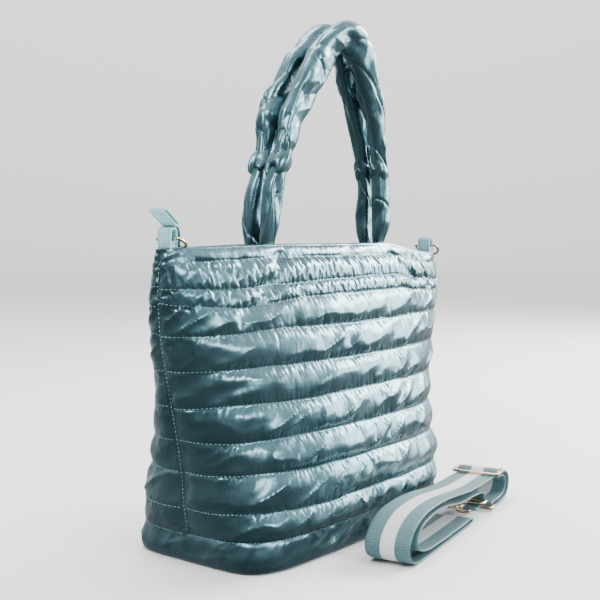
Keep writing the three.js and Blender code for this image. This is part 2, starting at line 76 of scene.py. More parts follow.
# height, length, depth, shift, squareness
SECTIONS = np.array([
    (0.095, 0.0, 0.0, 0.0, 4.4),
    (0.182, 0.12, 0.0, 0.04, 3.6),
    (0.298, 0.22, 0.06, 0.17, 2.9),
    (0.4, 0.35, 0.16, 0.27, 2.6),
    (0.509, 0.54, 0.27, 0.45, 2.4),
    (0.621, 0.72, 0.38, 0.6, 2.3),
    (0.733, 0.88, 0.5, 0.73, 2.3),
    (0.828, 0.97, 0.64, 0.87, 2.4),
    (0.884, 1.0, 0.74, 0.92, 2.5),
    (0.961, 1.0, 0.91, 1.0, 2.9),
    (1.0, 1.0, 1.0, 1.0, 3.2),
])
# Stitch lines: height, how far the padding above stands out, how strongly the line gathers
# the cloth below it, how far it strays from its level, and its dip in the front panel
STITCH_LINES = [
    (0.095, 9.0, 0.9, 0.6, 0.0),
    (0.182, 9.5, 1.0, 1.2, 0.0),
    (0.298, 9.0, 1.0, 1.2, 0.0),
    (0.4, 9.0, 0.9, 1.2, 0.0),
    (0.509, 9.0, 0.8, 1.2, 0.0),
    (0.621, 9.0, 0.8, 1.2, 0.0),
    (0.733, 8.0, 0.9, 1.2, 0.0),
    (0.828, 5.0, 1.3, 2.2, 5.5),
    (0.884, 7.0, 1.6, 2.2, 4.0),
    (0.961, 2.2, 1.0, 1.0, 0.0),
    (1.0, 0.0, 0.6, 0.0, 0.0),
]
DIP_AT = 95
DIP_WIDTH = 48
TOP_BAND = 8

rng_tables = {}


def lattice(seed):
    """A fixed table of random numbers for a seed."""
    if seed not in rng_tables:
        rng_tables[seed] = np.random.RandomState(seed).rand(256, 256) * 2 - 1
    return rng_tables[seed]


def noise(x, y, seed, smooth=True, period=256, period_y=256):
    """Value noise from -1 to 1 with cells one unit across. Without smoothing it has creases."""
    table = lattice(seed)
    x, y = np.broadcast_arrays(np.asarray(x, float), np.asarray(y, float))
    xi = np.floor(x).astype(int)
    yi = np.floor(y).astype(int)
    fx, fy = x - xi, y - yi
    if smooth:
        fx = fx * fx * (3 - 2 * fx)
        fy = fy * fy * (3 - 2 * fy)
    x0, x1 = xi % period, (xi + 1) % period
    y0, y1 = yi % period_y, (yi + 1) % period_y
    a = table[x0, y0]
    b = table[x1, y0]
    c = table[x0, y1]
    d = table[x1, y1]
    if smooth:
        return (a * (1 - fx) + b * fx) * (1 - fy) + (c * (1 - fx) + d * fx) * fy
    lower = a + (b - a) * fx + (d - b) * fy
    upper = a + (d - c) * fx + (c - a) * fy
    return np.where(fx > fy, lower, upper)


def ridge(value, sharpness=1.5):
    """Turns a wave from -1 to 1 into folds with narrow crests."""
    return 1 - np.abs(value) ** (1 / sharpness) * 2


def smoothed(values, width):
    reach = int(3 * width)
    kernel = np.exp(-0.5 * (np.arange(-reach, reach + 1) / width) ** 2)
    kernel /= kernel.sum()
    padded = np.concatenate([
        2 * values[0] - values[reach:0:-1], values, 2 * values[-1] - values[-2:-reach - 2:-1]])
    return np.convolve(padded, kernel, "valid")


def smoothstep(x, low, high):
    t = np.clip((x - low) / (high - low), 0, 1)
    return t * t * (3 - 2 * t)


def signed_power(value, power):
    return np.sign(value) * np.abs(value) ** power


def unit(vectors):
    return vectors / np.linalg.norm(vectors, axis=1)[:, None]


def run_along(line):
    """The distance along a line at each of its points."""
    return np.concatenate([[0], np.cumsum(np.linalg.norm(np.diff(line, axis=0), axis=1))])


def columns_at(at, run, table):
    """The columns of a table, read at given distances."""
    return np.stack([np.interp(at, run, column) for column in table.T], -1)


def half_sizes(h):
    """Half length, half depth, middle and squareness of the bag's section at height h."""
    row = [np.interp(h, SECTIONS[:, 0], SECTIONS[:, i]) for i in range(1, 5)]
    length = (BASE_LENGTH + (RIM_LENGTH - BASE_LENGTH) * row[0]) / 2
    depth = (BASE_DEPTH + (RIM_DEPTH - BASE_DEPTH) * row[1]) / 2
    middle = BASE_SHIFT + (RIM_SHIFT - BASE_SHIFT) * row[2]
    return length, depth, middle, row[3]


def on_section(angle, length, depth, squareness):
    """Points on a superellipse and their outward directions."""
    cos, sin = np.cos(angle), np.sin(angle)
    reach = (np.abs(cos) ** squareness + np.abs(sin) ** squareness) ** (1 / squareness)
    u, v = cos / reach, sin / reach
    out_x = signed_power(u, squareness - 1) / length
    out_y = signed_power(v, squareness - 1) / depth
    size = np.hypot(out_x, out_y)
    return u * length, v * depth, out_x / size, out_y / size


def rim_drop_at(x):
    share = (x - RIM_SHIFT) / (RIM_LENGTH / 2)
    drop = np.where(share < 0, RIM_DROP_LEFT, RIM_DROP_RIGHT)
    return drop * smoothstep(np.abs(share), 0.42, 0.88)


def height_at(h, x):
    return RIM_HEIGHT * h - rim_drop_at(x) * smoothstep(h, 0.7, 1)


def even_angles(start, count):
    """Angles over half a turn whose points are evenly spaced round the bag's middle."""
    fine = np.linspace(start, start + math.pi, 2000)
    length, depth, _, squareness = half_sizes(0.45)
    x, y, _, _ = on_section(fine, length, depth, squareness)
    run = np.concatenate([[0], np.cumsum(np.hypot(np.diff(x), np.diff(y)))])
    angles = np.interp(np.linspace(0, run[-1], count), run, fine)
    return angles, np.linspace(0, run[-1], count)


def mesh_object(name, points, faces, smooth=True):
    mesh = bpy.data.meshes.new(name)
    mesh.from_pydata((np.asarray(points) * MM).tolist(), [], faces)
    mesh.validate()
    if smooth:
        mesh.polygons.foreach_set("use_smooth", [True] * len(mesh.polygons))
    mesh.update()
    obj = bpy.data.objects.new(name, mesh)
    bpy.context.scene.collection.objects.link(obj)
    return obj


def grid_faces(rows, cols, wrap_cols=False, wrap_rows=False, flip=False, start=0):
    r = np.arange(rows if wrap_rows else rows - 1)
    c = np.arange(cols if wrap_cols else cols - 1)
    rr, cc = np.meshgrid(r, c, indexing="ij")
    r2, c2 = (rr + 1) % rows, (cc + 1) % cols
    quads = np.stack(
        [rr * cols + cc, rr * cols + c2, r2 * cols + c2, r2 * cols + cc], -1).reshape(-1, 4)
    if flip:
        quads = quads[:, ::-1]
    return (quads + start).tolist()


def grid_object(name, points, **kinds):
    """A mesh from a rows x columns x 3 array of points."""
    rows, cols = points.shape[:2]
    return mesh_object(name, points.reshape(-1, 3), grid_faces(rows, cols, **kinds))


# Camera at the photograph's viewing angle
CAMERA_AT = (-820.3, -623.0, 295.3)
CAMERA_AZIMUTH = -52.3
CAMERA_PITCH = 3.7
FOCAL_PIXELS = 1005
IMAGE_SIDE = 600
SENSOR = 36


def make_camera():
    data = bpy.data.cameras.new("camera")
    data.sensor_width = SENSOR
    data.lens = FOCAL_PIXELS / IMAGE_SIDE * SENSOR
    data.clip_start = 0.01
    camera = bpy.data.objects.new("camera", data)
    camera.location = [value * MM for value in CAMERA_AT]
    camera.rotation_euler = (
        math.radians(90 - CAMERA_PITCH), 0, math.radians(CAMERA_AZIMUTH))
    bpy.context.scene.collection.objects.link(camera)
    bpy.context.scene.camera = camera


make_camera()


# The bag's two quilted panels
PANEL_COLUMNS = 481
PANEL_ROWS = 200
SIM_COLUMNS = 289
SIM_ROWS = [12, 15, 13, 14, 14, 14, 12, 8, 11, 6]
SIM_SCALE = 10.0
CLOTH_STEP = 1.7
SIM_FRAMES = 20
STITCH_EVERY = 3
START_PUFF = 0.5
CLOTH_PRESSURE = 4.0
CLOTH_BENDING = 0.8
LET_OUT = -0.03
LET_OUT_BAND = -0.12
MOST_SUNK = 3.0
MOST_BLOWN = 4.0
CALM = 0.9
CALM_WIDTH = 3.6
SIDE_PUFF = 0.15
SIDE_FLAT = (25, 120)
SIDE_SEAM_DEPTH = 3.0
GATHERED = 0.8
FREE_DEPTH = 1.0
DEEPEST = 3.4
MOST_FOLDED = 3.6

# Drag folds in the front panel: x from the rim's middle as a share of half its length, z as
# a share of the rim's height, both ends, then depth and width
DRAG_FOLDS = [
    (-0.39, 0.975, -0.5, 0.88, 3.2, 4.5),
    (-0.5, 0.88, -0.72, 0.77, 4.5, 5.5),
    (-0.46, 0.9, -0.6, 0.86, 2.5, 4),
    (-0.62, 0.95, -0.8, 0.9, 2.5, 4),
    (0.46, 0.96, 0.6, 0.87, 4, 5.5),
    (0.7, 0.94, 0.76, 0.84, 3, 5),
    (-0.86, 0.95, -0.7, 0.91, 2.5, 4),
]


def fold_depth(x, z):
    total = np.zeros_like(x)
    for x0, z0, x1, z1, depth, width in DRAG_FOLDS:
        start = np.array([RIM_SHIFT + x0 * RIM_LENGTH / 2, z0 * RIM_HEIGHT])
        along = np.array([RIM_SHIFT + x1 * RIM_LENGTH / 2, z1 * RIM_HEIGHT]) - start
        dx, dz = x - start[0], z - start[1]
        share = np.clip((dx * along[0] + dz * along[1]) / (along @ along), 0, 1)
        distance = np.hypot(dx - share * along[0], dz - share * along[1])
        total += depth * np.exp(-(distance / width) ** 2)
    return MOST_FOLDED * np.tanh(total / MOST_FOLDED)


def line_wave(i, u, seed, side):
    """How far stitch line i strays from its level, along the panel."""
    size, dip = STITCH_LINES[i][3:]
    broad = noise(u / 70, u * 0 + i * 7.3, seed)
    narrow = noise(u / 26, u * 0 + i * 3.1, seed)
    wave = size * (broad + 0.5 * narrow)
    if side < 0:
        wave = wave - dip * np.exp(-((u - DIP_AT) / DIP_WIDTH) ** 2)
    return wave


def puckers(u, d, gather, seed, lean):
    """Small folds that run out of a stitch line, at distance d from it."""
    total = np.zeros_like(u)
    for wave, reach, size, k in ((6.5, 4.5, 0.75, 1), (13, 10, 1.1, 2), (27, 18, 1.3, 3)):
        phase = (u + lean * d) / wave
        jitter = noise(phase * 0.9 + 3.1 * k, d / (reach * 2.2) + 11.0 * k, seed + k)
        strength = 0.6 + 0.6 * noise(u / (wave * 5), d * 0 + 5.5 * k, seed + 10 + k)
        total += size * strength * ridge(jitter, 1.3) * np.exp(-d / reach)
    return gather * total * smoothstep(d, 0.0, 2.2)


def flat_panel(side, seed):
    """The panel as cut and stitched, before it is blown up, and where its threads hold it."""
    start = math.pi if side < 0 else 0.0
    angles, run = even_angles(start, SIM_COLUMNS)
    rows = [(i, k / count) for i, count in enumerate(SIM_ROWS) for k in range(count)]
    rows.append((len(SIM_ROWS) - 1, 1.0))
    i, q = [np.array(column)[:, None] for column in zip(*rows)]
    lines = np.array(STITCH_LINES)
    h = lines[i, 0] * (1 - q) + lines[i + 1, 0] * q
    u = np.broadcast_to(run[None, :], (len(rows), SIM_COLUMNS))
    length, depth, middle, squareness = half_sizes(h)
    x, y, out_x, out_y = on_section(angles[None, :], length, depth, squareness)
    x = x + middle
    z = h * RIM_HEIGHT + 0 * u

    crown = (4 * q * (1 - q)) ** 0.6
    edge = np.minimum(u, run[-1] - u)
    away = smoothstep(edge, 0.0, 6.0)
    not_rim = 1 - smoothstep(h, 0.985, 1.0)
    uneven = 1 + 0.3 * noise(u / 55, i * 5.7 + q, seed + 30)
    uneven = uneven + 0.2 * noise(u / 19, i * 9 + q * 2, seed + 31)
    flatter = SIDE_PUFF + (1 - SIDE_PUFF) * smoothstep(edge, *SIDE_FLAT)
    proud = START_PUFF * lines[i, 1] * crown * uneven * flatter
    rough = 0.9 * noise(u / 24, z / 17, seed + 59) + 0.6 * noise(u / 9, z / 13, seed + 60)
    rough = rough + 0.25 * noise(u / 3.4, z / 5, seed + 61)
    proud = proud + crown * rough
    above_hem = smoothstep(h, STITCH_LINES[0][0], STITCH_LINES[0][0] + 0.07)
    proud = proud * away - SIDE_SEAM_DEPTH * np.exp(-(edge / 8) ** 2) * not_rim * above_hem

    waves = np.array([line_wave(k, run, seed, side) for k in range(len(STITCH_LINES))])
    stray = (waves[i[:, 0]] * (1 - q) + waves[i[:, 0] + 1] * q) * away
    points = np.stack([x + out_x * proud, y + out_y * proud, height_at(h, x) + stray], -1)

    outward = np.stack([out_x + 0 * u, out_y + 0 * u, 0 * u], -1)
    held = np.zeros(u.shape, bool)
    held[:, [0, -1]] = True
    held[[0, -1], :] = True
    for row in np.flatnonzero(q[:, 0] == 0):
        held[row, (row % STITCH_EVERY)::STITCH_EVERY] = True
    fullness = np.where((i >= TOP_BAND - 1) & (i <= TOP_BAND), 1.0, 0.0) + 0 * u
    return points, outward, held, fullness, flatter, proud, q[:, 0]


def blown_up(points, held, fullness):
    """The stitched cloth after it is let out and filled, by a short cloth simulation."""
    rows, cols = held.shape
    mesh = bpy.data.meshes.new("stitched_cloth")
    mesh.from_pydata(
        (points.reshape(-1, 3) * MM * SIM_SCALE).tolist(), [], grid_faces(rows, cols))
    cloth = bpy.data.objects.new("stitched_cloth", mesh)
    bpy.context.scene.collection.objects.link(cloth)
    pins = cloth.vertex_groups.new(name="pins")
    pins.add(np.flatnonzero(held.ravel()).tolist(), 1.0, "REPLACE")
    full = cloth.vertex_groups.new(name="full")
    full.add(np.flatnonzero(fullness.ravel() > 0).tolist(), 1.0, "REPLACE")
    modifier = cloth.modifiers.new("cloth", "CLOTH")
    settings = modifier.settings
    settings.quality = 5
    settings.mass = 0.05
    settings.tension_stiffness = settings.compression_stiffness = 15
    settings.shear_stiffness = 4
    settings.bending_stiffness = CLOTH_BENDING
    settings.use_pressure = True
    settings.uniform_pressure_force = CLOTH_PRESSURE
    settings.vertex_group_mass = "pins"
    settings.vertex_group_shrink = "full"
    settings.shrink_min = LET_OUT
    settings.shrink_max = LET_OUT_BAND
    settings.effector_weights.gravity = 0
    modifier.collision_settings.use_collision = False
    modifier.point_cache.frame_start = 1
    modifier.point_cache.frame_end = SIM_FRAMES
    for step in range(1, SIM_FRAMES + 1):
        bpy.context.scene.frame_set(step)
    evaluated = cloth.evaluated_get(bpy.context.evaluated_depsgraph_get())
    settled = np.empty(rows * cols * 3)
    evaluated.to_mesh().vertices.foreach_get("co", settled)
    bpy.data.objects.remove(cloth)
    bpy.data.meshes.remove(mesh)
    bpy.context.scene.frame_set(1)
    return settled.reshape(rows, cols, 3) / (MM * SIM_SCALE)


def refined(values, counts):
    """A grid of values resampled along both of its directions with smooth curves."""
    for axis, count in enumerate(counts):
        values = np.moveaxis(values, axis, 0)
        at = np.linspace(0, len(values) - 1, count)
        i = np.minimum(at.astype(int), len(values) - 2)
        s = (at - i).reshape((-1,) + (1,) * (values.ndim - 1))
        before, after = np.maximum(i - 1, 0), np.minimum(i + 2, len(values) - 1)
        p0, p1, p2, p3 = values[before], values[i], values[i + 1], values[after]
        values = p1 + 0.5 * s * (p2 - p0 + s * (
            2 * p0 - 5 * p1 + 4 * p2 - p3 + s * (3 * (p1 - p2) + p3 - p0)))
        values = np.moveaxis(values, 0, axis)
    return values


def held_less(held):
    """How freely each point may still be pressed in: not at all along the panel's own edges."""
    rows, cols = held.shape
    from_top = smoothstep(np.arange(rows)[::-1], 0, 5)[:, None]
    from_sides = smoothstep(np.minimum(np.arange(cols), np.arange(cols)[::-1]), 0, 6)[None, :]
    return from_top * from_sides


def panel_points(side, seed):
    flat, outward, held, fullness, flatter, proud, q = flat_panel(side, seed)
    settled = blown_up(flat, held, fullness)
    moved = settled - flat
    out = (moved * outward).sum(-1, keepdims=True)
    settled = settled + outward * (np.clip(out, -MOST_SUNK, MOST_BLOWN * flatter[..., None]) - out)
    calm = np.stack([
        np.stack([smoothed(row[:, k], CALM_WIDTH) for k in range(3)], -1) for row in settled])
    crown = (4 * q * (1 - q))[:, None, None]
    share = CALM * crown ** 0.8 * (1 - 0.85 * fullness[..., None])
    settled = settled + (calm - settled) * share
    u = np.broadcast_to(np.arange(held.shape[1]) * CLOTH_STEP, held.shape)
    z = settled[..., 2]
    drags = ridge(noise((u - 1.9 * z) / 30, (z + 0.5 * u) / 60, seed + 110), 1.6)
    drags = 1.5 * drags + 0.8 * noise((u - z) / 17, (z + 0.4 * u) / 15, seed + 111)
    drags = drags * held_less(held) * (1 - 0.7 * fullness)
    settled = settled + outward * drags[..., None] * crown ** 0.9
    lines = np.array(STITCH_LINES)
    channel = (np.cumsum(q == 0) - 1)[:, None]
    below = (1 - q)[:, None] * (lines[channel + 1, 0] - lines[channel, 0]) * RIM_HEIGHT + 0 * u
    gather = GATHERED * lines[channel + 1, 2] * (1.4 - 0.6 * flatter)
    folds = puckers(u + 137 * channel, below, gather, seed + 90, 0.6)
    settled = settled + outward * (folds * held_less(held))[..., None]
    if side < 0:
        sunk = fold_depth(settled[..., 0], settled[..., 2])
        settled = settled - outward * (sunk * held_less(held))[..., None]
    edge = np.minimum(np.arange(held.shape[1]), np.arange(held.shape[1])[::-1]) * CLOTH_STEP
    edge = np.broadcast_to(edge[None, :], held.shape)
    gathers = puckers(settled[..., 2] + 400, edge, 2.0, seed + 80, 0.4)
    gathers = gathers * (1 - smoothstep(settled[..., 2], RIM_HEIGHT - 16, RIM_HEIGHT - 8))
    settled = settled + outward * gathers[..., None]
    from_section = proud + ((settled - flat) * outward).sum(-1)
    deeper = np.maximum(-from_section - FREE_DEPTH, 0)
    left = DEEPEST - FREE_DEPTH
    settled = settled + outward * (deeper - left * np.tanh(deeper / (1.6 * left)))[..., None]
    seams = [settled[row] for row in [*np.flatnonzero(q == 0), len(q) - 1]]
    sides = [(settled[1:-6, column], outward[1:-6, column]) for column in (0, -1)]
    points = refined(settled, (PANEL_ROWS, PANEL_COLUMNS))
    return points, seams, outward[0], sides


def ride_on_root(obj, slot_name, *nodes):
    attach(obj, "root")
    SLOT_OF[obj.name] = slot_name
    if nodes:
        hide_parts(*nodes)
    return obj


# The roll below the hem: share of the hem's height, inset as a share of BASE_INSET
HEM_ROLL = [(1.0, 0.0), (0.75, -0.02), (0.5, -0.03), (0.25, 0.0), (0.06, 0.06), (0.0, 0.3)]


def round_the_bag(every=1):
    """Angles right round the bag, the rear panel first, and the distances along the cloth."""
    rear, run_rear = even_angles(0.0, PANEL_COLUMNS)
    front, run_front = even_angles(math.pi, PANEL_COLUMNS)
    t = np.concatenate([rear[:-1:every], front[:-1:every]])
    return t, np.concatenate([run_rear[:-1:every], run_front[:-1:every] + run_rear[-1]])


def base_points():
    """The bottom panel's rounded edge and flat base, as rings from the hem inwards."""
    t, u = round_the_bag()
    hem_line = np.concatenate([
        refined(SEAMS[name][0][0], (PANEL_COLUMNS,))[:-1] for name in ("panel_rear", "panel_front")])
    length, depth, middle, squareness = half_sizes(STITCH_LINES[0][0])
    hem = STITCH_LINES[0][0] * RIM_HEIGHT
    shares = np.linspace(0, 1, 26)
    knots = np.linspace(0, 1, len(HEM_ROLL))
    heights = np.interp(shares, knots, [row[0] for row in HEM_ROLL])
    insets = np.interp(shares, knots, [row[1] for row in HEM_ROLL])
    kernel = np.array([0.25, 0.5, 0.25])
    for _ in range(2):
        heights[1:-1] = np.convolve(heights, kernel, "valid")
        insets[1:-1] = np.convolve(insets, kernel, "valid")
    rings = []
    for k, (rise, inset) in enumerate(zip(heights, insets)):
        x, y, out_x, out_y = on_section(
            t, length - inset * BASE_INSET, depth - inset * BASE_INSET, squareness + 1.5 * (1 - rise))
        d = (1 - rise) * hem + 0 * u
        fold = puckers(u, d, 1.5, 700, 0.5) * smoothstep(rise, 0.02, 0.3)
        broad = 1.8 * ridge(noise((u + 2 * d) / 26, (d - 0.3 * u) / 30, 702), 1.5)
        wrinkle = (broad + 0.9 * noise(u / 13, d / 11, 701)) * smoothstep(rise, 0.05, 0.4) * (k > 0)
        proud = fold + wrinkle * math.sin(math.pi * rise)
        ring = np.stack([x + middle + out_x * proud, y + out_y * proud, 0 * u + rise * hem], -1)
        if k == 0:
            to_hem = hem_line - ring
        rings.append(ring + to_hem * rise ** 3)
    for share in (0.9, 0.7, 0.4, 0.02):
        x, y, _, _ = on_section(
            t, (length - BASE_INSET) * share, (depth - BASE_INSET) * share, squareness)
        rings.append(np.stack([x + middle, y, 0 * u], -1))
    return np.array(rings)


def make_body():
    for name, side, seed in (("panel_front", -1, 100), ("panel_rear", 1, 300)):
        points, seams, outward, sides = panel_points(side, seed)
        panel = grid_object(name, points)
        ride_on_root(panel, "metallic_nylon", "bag_body")
        SEAMS[name] = (seams, outward, sides)
    base = grid_object("base_panel", base_points(), wrap_cols=True, flip=True)
    ride_on_root(base, "metallic_nylon", "bag_body")


make_body()


def lining_points():
    """The rolled rim, the inner wall and the inside floor."""
    t, u = round_the_bag(2)

    def inner(h, inwards=0.0):
        length, depth, middle, squareness = half_sizes(h)
        to_rim = smoothstep(h, 0.8, 1)
        x, y, out_x, out_y = on_section(
            t, length - LOWER_END_SEAM - (RIM_END_SEAM - LOWER_END_SEAM) * to_rim - inwards,
            depth - WALL - inwards, squareness + (INNER_SQUARENESS - squareness) * to_rim)
        return x + middle, y, out_x, out_y

    length, depth, middle, squareness = half_sizes(1.0)
    x_out, y_out, _, _ = on_section(t, length, depth, squareness)
    x_out = x_out + middle
    x_in, y_in, _, _ = inner(1.0)
    rings = []
    for share in np.linspace(0, 1, 9):
        x = x_out + (x_in - x_out) * share
        y = y_out + (y_in - y_out) * share
        bulge = 1.6 * math.sin(math.pi * share) ** 0.7
        wave = 0.4 * noise(u / 14, u * 0 + share, 801) * math.sin(math.pi * share)
        rings.append(np.stack([x, y, height_at(1.0, x) + bulge + wave], -1))
    for h in (0.985, 0.961, 0.93, 0.884, 0.84, 0.79, 0.733, 0.67, 0.6, 0.509, 0.4, 0.298, 0.2, 0.13):
        x, y, out_x, out_y = inner(h)
        z = height_at(h, x)
        wrinkle = 0.8 * noise(u / 22, z / 16, 802) - 0.8
        rings.append(np.stack([x + out_x * wrinkle, y + out_y * wrinkle, z], -1))
    for inwards, z in ((6, 18), (14, 11), (BASE_INSET, FLOOR_THICKNESS), (60, FLOOR_THICKNESS)):
        x, y, _, _ = inner(0.13, inwards)
        rings.append(np.stack([x, y, 0 * x + z], -1))
    return np.array(rings)


def make_lining():
    lining = grid_object("inner_wall", lining_points(), wrap_cols=True)
    ride_on_root(lining, "metallic_nylon", "bag_body")


make_lining()


def sweep(centres, sideways, upwards, section):
    """Points of a section carried along a path, as path x section x 3."""
    return (centres[:, None, :] + sideways[:, None, :] * section[None, :, 0:1]
            + upwards[:, None, :] * section[None, :, 1:2])


def tube_object(name, parts, uv=None):
    """One mesh from several tubes, each a (points, goes_round) pair with capped open ends."""
    points, faces, start = [], [], 0
    for grid, goes_round in parts:
        rows, cols = grid.shape[:2]
        points.append(grid.reshape(-1, 3))
        faces += grid_faces(rows, cols, wrap_cols=True, wrap_rows=goes_round, start=start)
        if not goes_round:
            faces.append([start + j for j in range(cols)][::-1])
            faces.append([start + (rows - 1) * cols + j for j in range(cols)])
        start += rows * cols
    obj = mesh_object(name, np.concatenate(points), faces)
    fix_normals(obj)
    if uv is not None:
        layer = obj.data.uv_layers.new(name="UVMap")
        index = np.zeros(len(obj.data.loops), int)
        obj.data.loops.foreach_get("vertex_index", index)
        layer.data.foreach_set("uv", uv.reshape(-1, 2)[index].astype(np.float32).ravel())
    return obj


def fix_normals(obj):
    mesh = bmesh.new()
    mesh.from_mesh(obj.data)
    bmesh.ops.recalc_face_normals(mesh, faces=mesh.faces)
    mesh.to_mesh(obj.data)
    mesh.free()


def section_oval(width, height, sides, squareness=2.0):
    x, y, _, _ = on_section(
        np.arange(sides) / sides * 2 * math.pi + 0.001, width / 2, height / 2, squareness)
    return np.stack([x, y], -1)


def rounded_path(corners, radius, steps=7):
    """A closed path through corners, with each corner rounded."""
    corners = np.asarray(corners, float)
    path = []
    for i, corner in enumerate(corners):
        into = corner - corners[i - 1]
        out = corners[(i + 1) % len(corners)] - corner
        into /= np.linalg.norm(into)
        out /= np.linalg.norm(out)
        for s in np.linspace(0, 1, steps):
            a = corner - into * radius * (1 - s)
            b = corner + out * radius * s
            path.append(a + (b - a) * s)
    return np.array(path)


def flat_wire(path, section, z=None):
    """A closed wire along a flat closed path in the XY plane."""
    along = np.roll(path, -1, 0) - np.roll(path, 1, 0)
    along = unit(along)
    sideways = np.stack([along[:, 1], -along[:, 0], 0 * along[:, 0]], -1)
    centres = np.stack([path[:, 0], path[:, 1], 0 * path[:, 0]], -1)
    upwards = np.tile([0.0, 0.0, 1.0], (len(path), 1))
    return sweep(centres, sideways, upwards, section)


def turned_y(points, angle, at):
    """Points turned about the Y axis as the model turns them, then moved."""
    cos, sin = math.cos(angle), math.sin(angle)
    x, y, z = points[..., 0], points[..., 1], points[..., 2]
    return np.stack([x * cos + z * sin, y, z * cos - x * sin], -1) + np.asarray(at)


# Stitches, as short capsules of thread. Rings: share of the length, radius and rise as
# shares of the thread's radius
STITCH_RINGS = [
    (0, 0.35, -0.5),
    (0.16, 0.95, 0.35),
    (0.84, 0.95, 0.35),
    (1, 0.35, -0.5),
]
STITCH_SIDES = 5


def stitch_parts(line, normals, pitch, length, radius, lift):
    run = run_along(line)
    count = int(run[-1] / pitch)
    at = (np.arange(count) + 0.5) * run[-1] / count
    start, end = (columns_at(at + side * length / 2, run, line) for side in (-1, 1))
    normal = unit(columns_at(at, run, normals))
    across = np.cross(unit(end - start), normal)
    rings = []
    for share, size, rise in STITCH_RINGS:
        centre = start + (end - start) * share + normal * (lift + rise * radius)
        ring = []
        for k in range(STITCH_SIDES):
            angle = k / STITCH_SIDES * 2 * math.pi
            ring.append(centre + (across * math.cos(angle) + normal * math.sin(angle)) * radius * size)
        rings.append(np.stack(ring, 1))
    return np.stack(rings, 1)


def stitch_object(name, lines, pitch=3.3, length=2.3, radius=0.32, lift=0.15, slot="metallic_nylon"):
    """All the stitches of several lines. A line is a (points, normals) pair."""
    points, faces, start = [], [], 0
    for line, normals in lines:
        for part in stitch_parts(line, normals, pitch, length, radius, lift):
            points.append(part.reshape(-1, 3))
            faces += grid_faces(len(STITCH_RINGS), STITCH_SIDES, wrap_cols=True, start=start)
            start += len(STITCH_RINGS) * STITCH_SIDES
    obj = mesh_object(name, np.concatenate(points), faces)
    ride_on_root(obj, slot)
    return obj


def make_panel_stitches():
    for name, (seams, outward, sides) in SEAMS.items():
        lines = [(seam[2:-2], outward[2:-2]) for seam in seams[:-1]]
        if name == "panel_front":
            lines += sides
        stitch_object(name.replace("panel", "quilt_stitching"), lines, pitch=3.8, length=2.2,
                      radius=0.42, lift=0.45)


make_panel_stitches()


# Handles
HANDLE_SPACING = 194
HANDLE_CENTRE = 20
HANDLE_DROP = 218
HANDLE_TAIL = 20
LEG_DEPTH_IN_MOUTH = 6
HANDLE_GAP = 1
TAPE_THICKNESS = 1.2
HANDLE_STEPS = 420
HANDLE_SIDES = 96
PLEATS = 9

# x as a share of half the leg spacing, z of the drop, width, depth
HANDLE_STATIONS = [
    (-1.0, 0.05, 17, 11),
    (-0.98, 0.13, 19, 13),
    (-0.93, 0.24, 18, 13),
    (-0.87, 0.32, 14, 12),
    (-0.83, 0.37, 14, 12),
    (-0.76, 0.45, 19, 13),
    (-0.67, 0.54, 26, 15),
    (-0.52, 0.65, 28, 16),
    (-0.3, 0.79, 27, 16),
    (-0.04, 0.91, 26, 15),
    (0.2, 0.985, 25, 15),
    (0.42, 0.99, 26, 15),
    (0.6, 0.92, 27, 15),
    (0.73, 0.79, 23, 15),
    (0.85, 0.65, 22, 15),
    (0.93, 0.54, 19, 14),
    (0.97, 0.45, 15, 12),
    (0.99, 0.37, 14, 12),
    (1.0, 0.3, 15, 12),
    (1.02, 0.2, 20, 13),
    (1.01, 0.11, 19, 13),
    (1.0, 0.05, 17, 11),
]
# x, z as above, lean in radians, radius of the wrap and of its fabric
KNOTS = [
    (-0.83, 0.372, 0.75, 5.2, 7.4),
    (0.985, 0.36, -0.5, 4.6, 6.4),
]
KNOT_FLATTENING = 0.8


